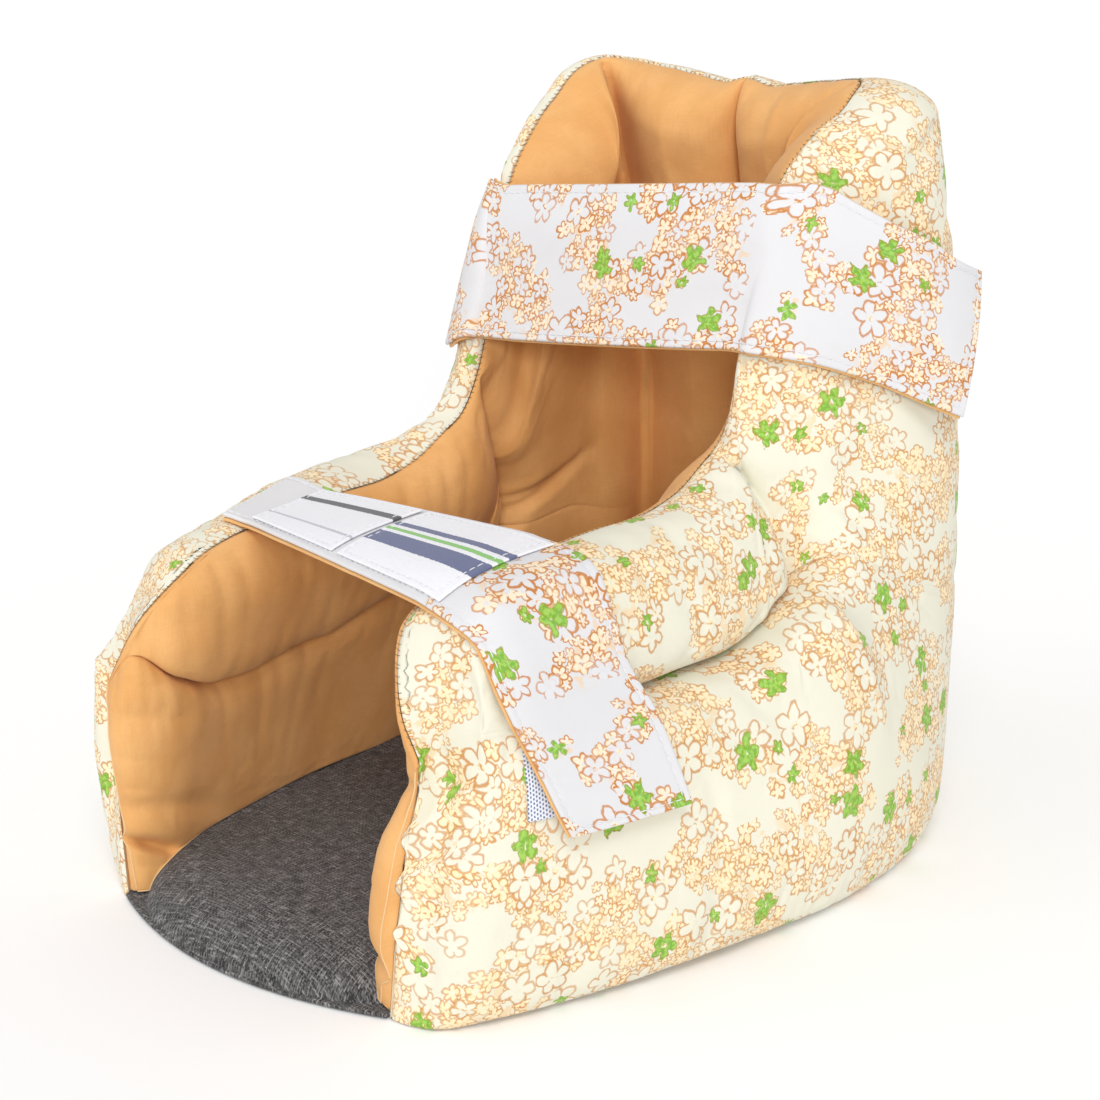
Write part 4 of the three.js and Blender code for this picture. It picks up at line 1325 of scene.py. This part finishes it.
# %% Make the straps
TOP = STRAP_FACING + GAP + STRAP_CLOTH
LABEL_TOP = TOP + GAP + 0.9
LABEL_MARGIN = 2.2
STITCH_MARGIN = 3.2
STITCH_RADIUS = 0.2
LABELS = {"far_label": ((0.156, 0.355), (0.07, 0.93)), "near_label": ((0.368, 0.575), (0.07, 0.93))}

STRAPS, STITCHES = {}, {}
for part, strap, seed in (("upper", UPPER, 3), ("lower", LOWER, 9)):
    name = part + "_strap_cloth"
    STRAPS[name] = strip(name, strap, STRAP_FACING + GAP, TOP, cover=FACING_SHOWS, seed=seed)
    name = part + "_strap_lining"
    STRAPS[name] = strip(name, strap, 0, STRAP_FACING, groove=0.0, seed=seed)
for name, (span, cover) in LABELS.items():
    STRAPS[name] = strip(name, LOWER, TOP + GAP, LABEL_TOP, span, cover, LABEL_MARGIN, 0.15, 4)
for part, strap in (("upper", UPPER), ("lower", LOWER)):
    lines = border_stitches(strap, TOP, STITCH_MARGIN, cover=FACING_SHOWS)
    STITCHES[part + "_topstitch"] = threads(part + "_topstitch", lines, STITCH_RADIUS)
label_lines = []
for span, cover in LABELS.values():
    label_lines += border_stitches(LOWER, LABEL_TOP, LABEL_MARGIN, span, cover)
STITCHES["label_stitches"] = threads("label_stitches", label_lines, STITCH_RADIUS)
print("straps and labels", len(STRAPS), "pieces")

# %% Make the hook tape
HOOK_TOP, HOOK_BOTTOM = 94, 66
HOOK_FRONT_AT, HOOK_REAR_AT = 0.867, 0.840
HOOK_THICK = 0.8


def hook_tape():
    """Hook tape under the front edge of the lower strap."""
    place = np.linspace(HOOK_FRONT_AT, HOOK_REAR_AT, LEVELS)
    heights = np.linspace(HOOK_TOP, HOOK_BOTTOM, 8)
    rows = np.stack([over_bridge(place, z, 2 * GAP) for z in heights])
    return strip("hook_tape", Strap(rows, 40, 13), 0, HOOK_THICK, margin=1.5, groove=0.1, seed=2)


HOOK_TAPE = hook_tape()
print("hook tape", len(HOOK_TAPE.data.polygons), "faces")

# %% [markdown]
# ## Reckoning with nodes
# The prints and weaves are sums of simple distances, and a node tree for them by hand would be a
# tangle. So a small class lets a material be written as arithmetic: each operator adds one Math
# node and links it up. What it makes is an ordinary node tree.

# %% Arithmetic on sockets
class Wire:
    """A number in a material's node tree that can be reckoned with."""

    def __init__(self, tree, socket):
        self.tree, self.socket = tree, socket

    def math(self, operation, *others):
        node = self.tree.nodes.new("ShaderNodeMath")
        node.operation = operation
        for k, value in enumerate((self,) + others):
            plug(self.tree, node.inputs[k], value)
        return Wire(self.tree, node.outputs[0])

    def __add__(self, other):
        return self.math("ADD", other)

    def __sub__(self, other):
        return self.math("SUBTRACT", other)

    def __mul__(self, other):
        return self.math("MULTIPLY", other)

    def __truediv__(self, other):
        return self.math("DIVIDE", other)

    def __pow__(self, other):
        return self.math("POWER", other)

    def step(self, low, high):
        """Smooth step of this number from 0 at low to 1 at high."""
        node = self.tree.nodes.new("ShaderNodeMapRange")
        node.interpolation_type = "SMOOTHSTEP"
        plug(self.tree, node.inputs["Value"], self)
        node.inputs["From Min"].default_value = low
        node.inputs["From Max"].default_value = high
        return Wire(self.tree, node.outputs["Result"])


def plug(tree, socket, value):
    """Links a wire to a socket, or sets a plain value on it."""
    if isinstance(value, Wire):
        tree.links.new(value.socket, socket)
    else:
        socket.default_value = value


def linear(red, green, blue):
    """Colour from the 0-255 numbers of a colour picker."""
    return tuple((c / 255) ** 2.2 for c in (red, green, blue)) + (1.0,)


def darker(colour, share):
    """The same colour with less light."""
    return tuple(c * share for c in colour[:3]) + (1.0,)


def vector(tree, operation, *values, scale=None):
    """One Vector Math node."""
    node = tree.nodes.new("ShaderNodeVectorMath")
    node.operation = operation
    for k, value in enumerate(values):
        plug(tree, node.inputs[k], value)
    if scale is not None:
        node.inputs["Scale"].default_value = scale
    return Wire(tree, node.outputs[0])


def parts(tree, value):
    """The three numbers of a vector or colour."""
    node = tree.nodes.new("ShaderNodeSeparateXYZ")
    plug(tree, node.inputs[0], value)
    return [Wire(tree, out) for out in node.outputs]


def mixed(tree, share, one, other):
    """Colour between two others."""
    node = tree.nodes.new("ShaderNodeMix")
    node.data_type = "RGBA"
    plug(tree, node.inputs["Factor"], share)
    plug(tree, node.inputs[6], one)
    plug(tree, node.inputs[7], other)
    return Wire(tree, node.outputs[2])


def noise(tree, place, size, detail=2.0, dimensions="2D", part="Fac"):
    """Noise whose waves are about this many millimetres."""
    node = tree.nodes.new("ShaderNodeTexNoise")
    node.noise_dimensions = dimensions
    plug(tree, node.inputs["Vector"], place)
    node.inputs["Scale"].default_value = 1 / size
    node.inputs["Detail"].default_value = detail
    return Wire(tree, node.outputs[part])


print("node helper ready")

# %% [markdown]
# A cloth material starts with the place on the flat cloth in millimetres and ends in a Principled
# shader with a little sheen, its bump fed with the height of weave and thread.

# %% Start and end of a cloth material
def cloth_tree(name):
    """New material, its tree and the place on the flat cloth in millimetres."""
    material = bpy.data.materials.new(name)
    material.use_nodes = True
    tree = material.node_tree
    tree.nodes.clear()
    place = tree.nodes.new("ShaderNodeAttribute")
    place.attribute_name = "cloth"
    return material, tree, vector(tree, "SCALE", Wire(tree, place.outputs["Vector"]), scale=1 / MM)


def finish_cloth(tree, colour, rough, height, depth_mm, sheen):
    """Shader and output of a cloth."""
    shader = tree.nodes.new("ShaderNodeBsdfPrincipled")
    plug(tree, shader.inputs["Base Color"], colour)
    plug(tree, shader.inputs["Roughness"], rough)
    shader.inputs["Sheen Weight"].default_value = sheen
    shader.inputs["Sheen Roughness"].default_value = 0.5
    shader.inputs["Specular IOR Level"].default_value = 0.3
    bump = tree.nodes.new("ShaderNodeBump")
    bump.inputs["Strength"].default_value = 1.0
    bump.inputs["Distance"].default_value = depth_mm * MM
    plug(tree, bump.inputs["Height"], height)
    tree.links.new(bump.outputs["Normal"], shader.inputs["Normal"])
    output = tree.nodes.new("ShaderNodeOutputMaterial")
    tree.links.new(shader.outputs["BSDF"], output.inputs["Surface"])


def plain_weave(tree, place, pitch):
    """Height of a plain weave: threads over and under in turn."""
    x, y, _ = parts(tree, place)
    x, y = x / pitch, y / pitch
    over = (x * math.pi).math("SINE").math("ABSOLUTE")
    along_thread = (y * math.pi).math("SINE").math("ABSOLUTE")
    turn = (x.math("FLOOR") + y.math("FLOOR")).math("FLOORED_MODULO", 2.0)
    return over * turn + along_thread * (turn * -1.0 + 1.0)


print("cloth materials start from the flat places")

# %% [markdown]
# ## The flowered print
# One layer of flowers is a field of cells, each with one five-petalled flower turned its own way.
# Folding the angle into one fifth of a turn lets a single ellipse draw all five petals, and the
# distance to that ellipse gives both the outline and the filling. The line stops short of the
# middle, so the heart of a flower stays an open star. One slow noise, shared by all layers, makes
# the drifts: small flowers crowd where it is high, large ones stand at the edge of a drift, and
# the ground stays bare where it is low.

# %% One layer of flowers
FIFTH = math.pi / 5
DRIFT_MM = 24.0
PETAL = {"centre": 0.58, "long": 0.42, "wide": 0.33}
LEAF = {"centre": 0.52, "long": 0.46, "wide": 0.30}


def flower_layer(tree, place, seed, cell, radius, drift, share, petal=PETAL, random=0.75, rough=0.9):
    """Outline distance in mm, presence, openness of the line and random numbers of a layer."""
    shift = (seed * 37.3, seed * 91.7, 0)
    shifted = vector(tree, "ADD", place, shift)
    cells = tree.nodes.new("ShaderNodeTexVoronoi")
    cells.voronoi_dimensions = "2D"
    cells.inputs["Scale"].default_value = 1 / cell
    cells.inputs["Randomness"].default_value = random
    plug(tree, cells.inputs["Vector"], shifted)
    home = Wire(tree, cells.outputs["Position"])
    chance = parts(tree, Wire(tree, cells.outputs["Color"]))
    x, y, _ = parts(tree, vector(tree, "SUBTRACT", shifted, home))
    angle = y.math("ARCTAN2", x) + chance[0] * (2 * math.pi)
    reach = (x * x + y * y).math("SQRT")
    folded = angle.math("WRAP", -FIFTH, FIFTH)
    size = (chance[1] * 0.4 + 0.78) * radius
    outwards = reach * folded.math("COSINE") / size
    aside = reach * folded.math("SINE") / size
    long_way = ((outwards - petal["centre"]) / petal["long"]) ** 2.0
    round_petal = (long_way + (aside / petal["wide"]) ** 2.0).math("SQRT")
    wobble = (noise(tree, shifted, 2.1, 1.0) - 0.5) * rough
    distance = (round_petal - 1.0) * size * petal["wide"] * 1.15 + wobble
    gather = noise(tree, vector(tree, "SUBTRACT", home, shift), DRIFT_MM, 1.5) + (chance[2] - 0.5) * 0.07
    low, high = drift
    luck = (chance[2] * 7.3).math("FRACT").math("LESS_THAN", share)
    present = gather.math("GREATER_THAN", low) * gather.math("LESS_THAN", high) * luck
    return distance, present, (reach / size).step(0.30, 0.46), chance


def paint_flowers(tree, colour, layer, line, fill, line_mm, fill_share, strength=1.0):
    """Colour with a layer of flowers painted over it."""
    distance, present, open_heart, chance = layer
    inside = (distance * -1.0).step(-0.15, 0.15) * present
    colour = mixed(tree, inside * fill_share, colour, fill)
    edge = distance.math("ABSOLUTE").step(line_mm * 0.72, line_mm * 0.22) * present * open_heart
    faint = (chance[0] * 7.0).math("FRACT") * 0.35 + 0.65
    return mixed(tree, edge * faint * strength, colour, line)


print("a flower folds into fifths of", round(math.degrees(2 * FIFTH)), "degrees")

# %% [markdown]
# A drift is painted from the smallest flowers up: a wash of ochre, two sizes of tiny flowers, then
# medium and large ones that cover what lies under them, and green ones last. The straps are cut
# from a crisper run of the same print on a cooler white.

# %% The printed cloths
def flowered(name, ground, line, wash, cream, line_mm, strength, spread=0.0, bare_until=None):
    """Printed cotton: small flowers in drifts, larger ones and green ones over them."""
    material, tree, place = cloth_tree(name)
    cloth_place = place
    bend = vector(tree, "SUBTRACT", noise(tree, place, 8.0, 1.0, part="Color"), (0.5, 0.5, 0.5))
    place = vector(tree, "ADD", place, vector(tree, "SCALE", bend, scale=2.6))
    shade = noise(tree, place, 60.0, 2.0)
    colour = mixed(tree, shade.step(0.3, 0.7), ground, darker(ground, 0.96))
    drift = noise(tree, place, DRIFT_MM, 1.5).step(0.47, 0.54)
    patch = noise(tree, vector(tree, "ADD", place, (11.0, 7.0, 0.0)), 4.5, 2.0).step(0.48, 0.60)
    colour = mixed(tree, drift * patch * 0.5 * strength, colour, wash)
    tiny = flower_layer(tree, place, 1, 5.0, 2.3, (0.47 + spread, 9), 0.95, random=0.8, rough=0.7)
    colour = paint_flowers(tree, colour, tiny, line, cream, line_mm * 0.7, 0.7, strength)
    small = flower_layer(tree, place, 2, 7.2, 3.4, (0.44 + spread, 9), 0.85, random=0.8)
    colour = paint_flowers(tree, colour, small, line, cream, line_mm * 0.85, 0.8, strength)
    medium = flower_layer(tree, place, 3, 11.0, 4.8, (0.40 + spread, 0.62), 0.72)
    colour = paint_flowers(tree, colour, medium, line, ground, line_mm, 0.92, strength)
    large = flower_layer(tree, place, 4, 17.5, 6.4, (0.39 + spread, 0.60), 0.72, random=0.6)
    colour = paint_flowers(tree, colour, large, line, ground, line_mm * 1.1, 0.97, strength)
    mottle = noise(tree, place, 1.6, 2.0).step(0.38, 0.62)
    green = mixed(tree, mottle, linear(116, 170, 48), linear(154, 200, 84))
    leaf = flower_layer(tree, place, 5, 25.0, 5.2, (0.44, 0.60), 0.62, LEAF, 0.85, rough=2.2)
    colour = paint_flowers(tree, colour, leaf, linear(150, 150, 50), green, line_mm * 0.7, 0.95)
    bud = flower_layer(tree, place, 6, 18.0, 2.7, (0.44, 0.62), 0.55, LEAF, 0.9, rough=1.6)
    colour = paint_flowers(tree, colour, bud, linear(140, 150, 48), green, line_mm * 0.5, 0.95)
    if bare_until is not None:
        x, _, _ = parts(tree, cloth_place)
        colour = mixed(tree, x.step(bare_until + 1, bare_until - 1), colour, ground)
    weave = plain_weave(tree, place, 0.42)
    slub = noise(tree, vector(tree, "MULTIPLY", place, (1.0, 0.18, 1.0)), 1.1, 2.0)
    finish_cloth(tree, colour, slub * 0.12 + 0.66, weave * 0.5 + slub * 0.9, 0.05, sheen=0.08)
    return material


LOWER_PLAIN_MM = float(np.interp(LABELS["near_label"][0][1], LOWER.s, LOWER.run_mm)) - 6
PRINT = flowered(
    "flowered_cotton", linear(230, 227, 208), linear(198, 136, 66), linear(240, 192, 118),
    linear(248, 228, 186), 0.78, 0.85,
)
STRAP_INKS = (linear(220, 219, 221), linear(194, 122, 54), linear(238, 190, 124), linear(244, 226, 194))
STRAP_PRINT = flowered("strap_cotton", *STRAP_INKS, 0.78, 1.0, spread=0.02)
LOWER_STRAP_PRINT = flowered("lower_strap_cotton", *STRAP_INKS, 0.78, 1.0, 0.02, LOWER_PLAIN_MM)
print("printed cloths have", len(PRINT.node_tree.nodes), "nodes each")

# %% [markdown]
# ## Plain cloths
# The lining is a smooth brushed cotton: a fine weave, a faint mottling and a soft sheen. The foot
# bed is a coarse canvas spun from dark and light grey fibres, so its threads differ in colour.
# The labels are satin, with a few woven stripes of their own, and the hook tape is a field of
# small hooks.

# %% The plain cloths
def brushed_cotton(name, light, deep):
    """Caramel cotton."""
    material, tree, place = cloth_tree(name)
    mottle = noise(tree, place, 24.0, 3.0)
    colour = mixed(tree, mottle.step(0.3, 0.72), light, deep)
    thread = noise(tree, vector(tree, "MULTIPLY", place, (1.0, 0.12, 1.0)), 0.7, 2.0)
    cross = noise(tree, vector(tree, "MULTIPLY", place, (0.12, 1.0, 1.0)), 0.7, 2.0)
    fleck = (thread + cross) * 0.5
    colour = mixed(tree, fleck.step(0.42, 0.62) * 0.16, colour, darker(deep, 0.8))
    height = plain_weave(tree, place, 0.4) * 0.5 + fleck * 1.2
    finish_cloth(tree, colour, fleck * 0.15 + 0.62, height, 0.05, sheen=0.1)
    return material


def canvas(name):
    """Charcoal canvas of mixed fibres."""
    material, tree, place = cloth_tree(name)
    warp = noise(tree, vector(tree, "MULTIPLY", place, (1.0, 0.10, 1.0)), 0.55, 2.0)
    weft = noise(tree, vector(tree, "MULTIPLY", place, (0.10, 1.0, 1.0)), 0.55, 2.0)
    x, y, _ = parts(tree, vector(tree, "SCALE", place, scale=1 / 0.8))
    turn = (x.math("FLOOR") + y.math("FLOOR")).math("FLOORED_MODULO", 2.0)
    thread = warp * turn + weft * (turn * -1.0 + 1.0)
    cloud = noise(tree, place, 7.0, 3.0)
    tone = thread.step(0.36, 0.72) * 0.85 + cloud * 0.2
    colour = mixed(tree, tone, linear(30, 30, 32), linear(130, 128, 128))
    slub = warp.step(0.66, 0.74) + weft.step(0.66, 0.74)
    colour = mixed(tree, slub * 0.5, colour, linear(172, 169, 166))
    height = plain_weave(tree, place, 0.8) + thread * 0.8
    finish_cloth(tree, colour, 0.85, height, 0.16, sheen=0.08)
    return material


def satin(name, ground, stripes):
    """Label satin with woven stripes: list of (from, to, colour) across the label in millimetres."""
    material, tree, place = cloth_tree(name)
    x, y, _ = parts(tree, place)
    fray = (noise(tree, place, 1.1, 1.0) - 0.5) * 0.5
    thread = noise(tree, vector(tree, "MULTIPLY", place, (0.1, 1.0, 1.0)), 0.5, 2.0)
    colour = mixed(tree, thread.step(0.35, 0.65) * 0.25, ground, darker(ground, 0.86))
    for low, high, tone in stripes:
        band = (y + fray).step(low - 0.12, low + 0.12) * (y + fray).step(high + 0.12, high - 0.12)
        colour = mixed(tree, band * 0.92, colour, tone)
    rough = thread * 0.1 + 0.38
    height = thread + plain_weave(tree, place, 0.35) * 0.4
    finish_cloth(tree, colour, rough, height, 0.04, sheen=0.1)
    return material


def hooks(name):
    """Hook tape: pale ground with rows of small blue-grey hooks."""
    material, tree, place = cloth_tree(name)
    x, y, _ = parts(tree, vector(tree, "SCALE", place, scale=1 / 1.3))
    dx = (x + (y.math("FLOOR").math("FLOORED_MODULO", 2.0) * 0.5)).math("FRACT") - 0.5
    dy = y.math("FRACT") - 0.5
    dot = ((dx * dx + dy * dy).math("SQRT")).step(0.36, 0.20)
    colour = mixed(tree, dot, linear(226, 230, 240), linear(112, 128, 168))
    finish_cloth(tree, colour, 0.6, dot, 0.25, sheen=0.0)
    return material


def thread_material(name, colour):
    """Sewing thread: a twist along a plain colour."""
    material, tree, _ = cloth_tree(name)
    where = tree.nodes.new("ShaderNodeTexCoord")
    place = vector(tree, "SCALE", Wire(tree, where.outputs["Object"]), scale=1 / MM)
    twist = noise(tree, place, 0.35, 1.0, "3D")
    shade = mixed(tree, twist, colour, darker(colour, 0.8))
    finish_cloth(tree, shade, 0.6, twist, 0.05, sheen=0.1)
    return material


LINING = brushed_cotton("caramel_cotton", linear(231, 175, 111), linear(222, 163, 98))
FACING = brushed_cotton("caramel_facing", linear(233, 183, 121), linear(224, 169, 107))
PIPING = thread_material("caramel_piping", linear(240, 200, 146))
BACK_PIPING = thread_material("caramel_back_piping", linear(221, 161, 98))
CANVAS = canvas("charcoal_canvas")
NAVY, GREEN, SILVER = linear(74, 84, 128), linear(122, 188, 84), linear(186, 188, 196)
WHITE, GREY = linear(240, 240, 245), linear(60, 60, 66)
FAR_LABEL = satin("far_label_satin", WHITE, [(-12, -10.6, SILVER), (8, 12, GREY)])
NEAR_LABEL = satin("near_label_satin", WHITE, [(-9, -1, NAVY), (1, 3, GREEN), (5, 8, NAVY)])
HOOKS = hooks("hook_tape")
WHITE_THREAD = thread_material("white_thread", linear(240, 240, 242))
RIM_THREAD = thread_material("rim_thread", linear(112, 82, 52))
SHELL_PIPING = thread_material("shell_piping", linear(233, 231, 214))
print("plain cloths", len(bpy.data.materials), "materials in all")

# %% [markdown]
# ## Dress and place every piece
# Each piece gets its material, rides on the boot's one body, and stands for its solid of the
# imported model.

def dress(thing, material, node=None):
    """Material, body and the solid it stands for."""
    thing.data.materials.clear()
    thing.data.materials.append(material)
    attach(thing, "root")
    if node:
        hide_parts(node)


for name, pad in PADS.items():
    side, cloth = name.split("_")
    material, slot = (PRINT, "print") if cloth == "shell" else (LINING, "lining")
    dress(pad, material, cloth + "_" + side)
dress(FOOT_BED, CANVAS, "foot_bed")
dress(STRAPS["upper_strap_cloth"], STRAP_PRINT, "upper_strap")
dress(STRAPS["upper_strap_lining"], FACING, "upper_strap_facing")
dress(STRAPS["lower_strap_cloth"], LOWER_STRAP_PRINT, "lower_strap")
dress(STRAPS["lower_strap_lining"], FACING, "lower_strap_facing")
dress(STRAPS["far_label"], FAR_LABEL, "label_far")
dress(STRAPS["near_label"], NEAR_LABEL, "label_near")
dress(HOOK_TAPE, HOOKS, "lower_hook_tape")
for stitches in STITCHES.values():
    dress(stitches, WHITE_THREAD)
dress(SEAMS["overlock_stitches"], RIM_THREAD)
dress(SEAMS["lining_piping"], PIPING)
dress(SEAMS["lining_back_piping"], BACK_PIPING)
dress(SEAMS["shell_back_piping"], SHELL_PIPING)

# %% [markdown]
# ## Floor and light
# The photograph is a bright catalogue picture: a white floor that runs off into white, flat light
# that reaches deep into the boot, and a shadow so open that it is only seen close to the sole. A
# bright sky and soft suns give that, as they light the floor evenly to its far end. One of them
# stands low beside the camera, so that it shines in between the straps.

# %% Floor and light
FLOOR_HALF = 40.0
SKY_STRENGTH = 0.64
# Azimuth and elevation in degrees, strength, softness in degrees
SUNS = {"key": (45, 50, 0.9, 25), "front": (43, 19, 1.05, 14), "left": (-40, 30, 0.3, 50)}


def soft_sun(name, azimuth, elevation, strength, softness):
    """Sun with a wide disc, seen from the boot at an azimuth and elevation in degrees."""
    data = bpy.data.lights.new(name, "SUN")
    data.energy = strength
    data.angle = math.radians(softness)
    lamp = bpy.data.objects.new(name, data)
    bpy.context.scene.collection.objects.link(lamp)
    turn, rise = math.radians(azimuth), math.radians(elevation)
    towards = Vector((math.sin(turn) * math.cos(rise), -math.cos(turn) * math.cos(rise), math.sin(rise)))
    lamp.rotation_euler = (-towards).to_track_quat("-Z", "Y").to_euler()


corners = [(x * FLOOR_HALF, y * FLOOR_HALF, 0) for x, y in ((-1, -1), (1, -1), (1, 1), (-1, 1))]
floor_mesh = bpy.data.meshes.new("floor")
floor_mesh.from_pydata(corners, [], [(0, 1, 2, 3)])
floor = bpy.data.objects.new("floor", floor_mesh)
floor.location.z = -0.0005
bpy.context.scene.collection.objects.link(floor)
floor_material = bpy.data.materials.new("pale_floor")
floor_material.use_nodes = True
floor_shader = floor_material.node_tree.nodes["Principled BSDF"]
floor_shader.inputs["Base Color"].default_value = linear(254, 254, 254)
floor_shader.inputs["Roughness"].default_value = 1.0
floor_shader.inputs["Specular IOR Level"].default_value = 0.0
floor_mesh.materials.append(floor_material)

world = bpy.data.worlds.new("studio")
bpy.context.scene.world = world
world.use_nodes = True
world.node_tree.nodes["Background"].inputs["Color"].default_value = (1, 1, 1, 1)
world.node_tree.nodes["Background"].inputs["Strength"].default_value = SKY_STRENGTH
for name, light in SUNS.items():
    soft_sun(name, *light)
bpy.context.scene.view_settings.view_transform = "Standard"
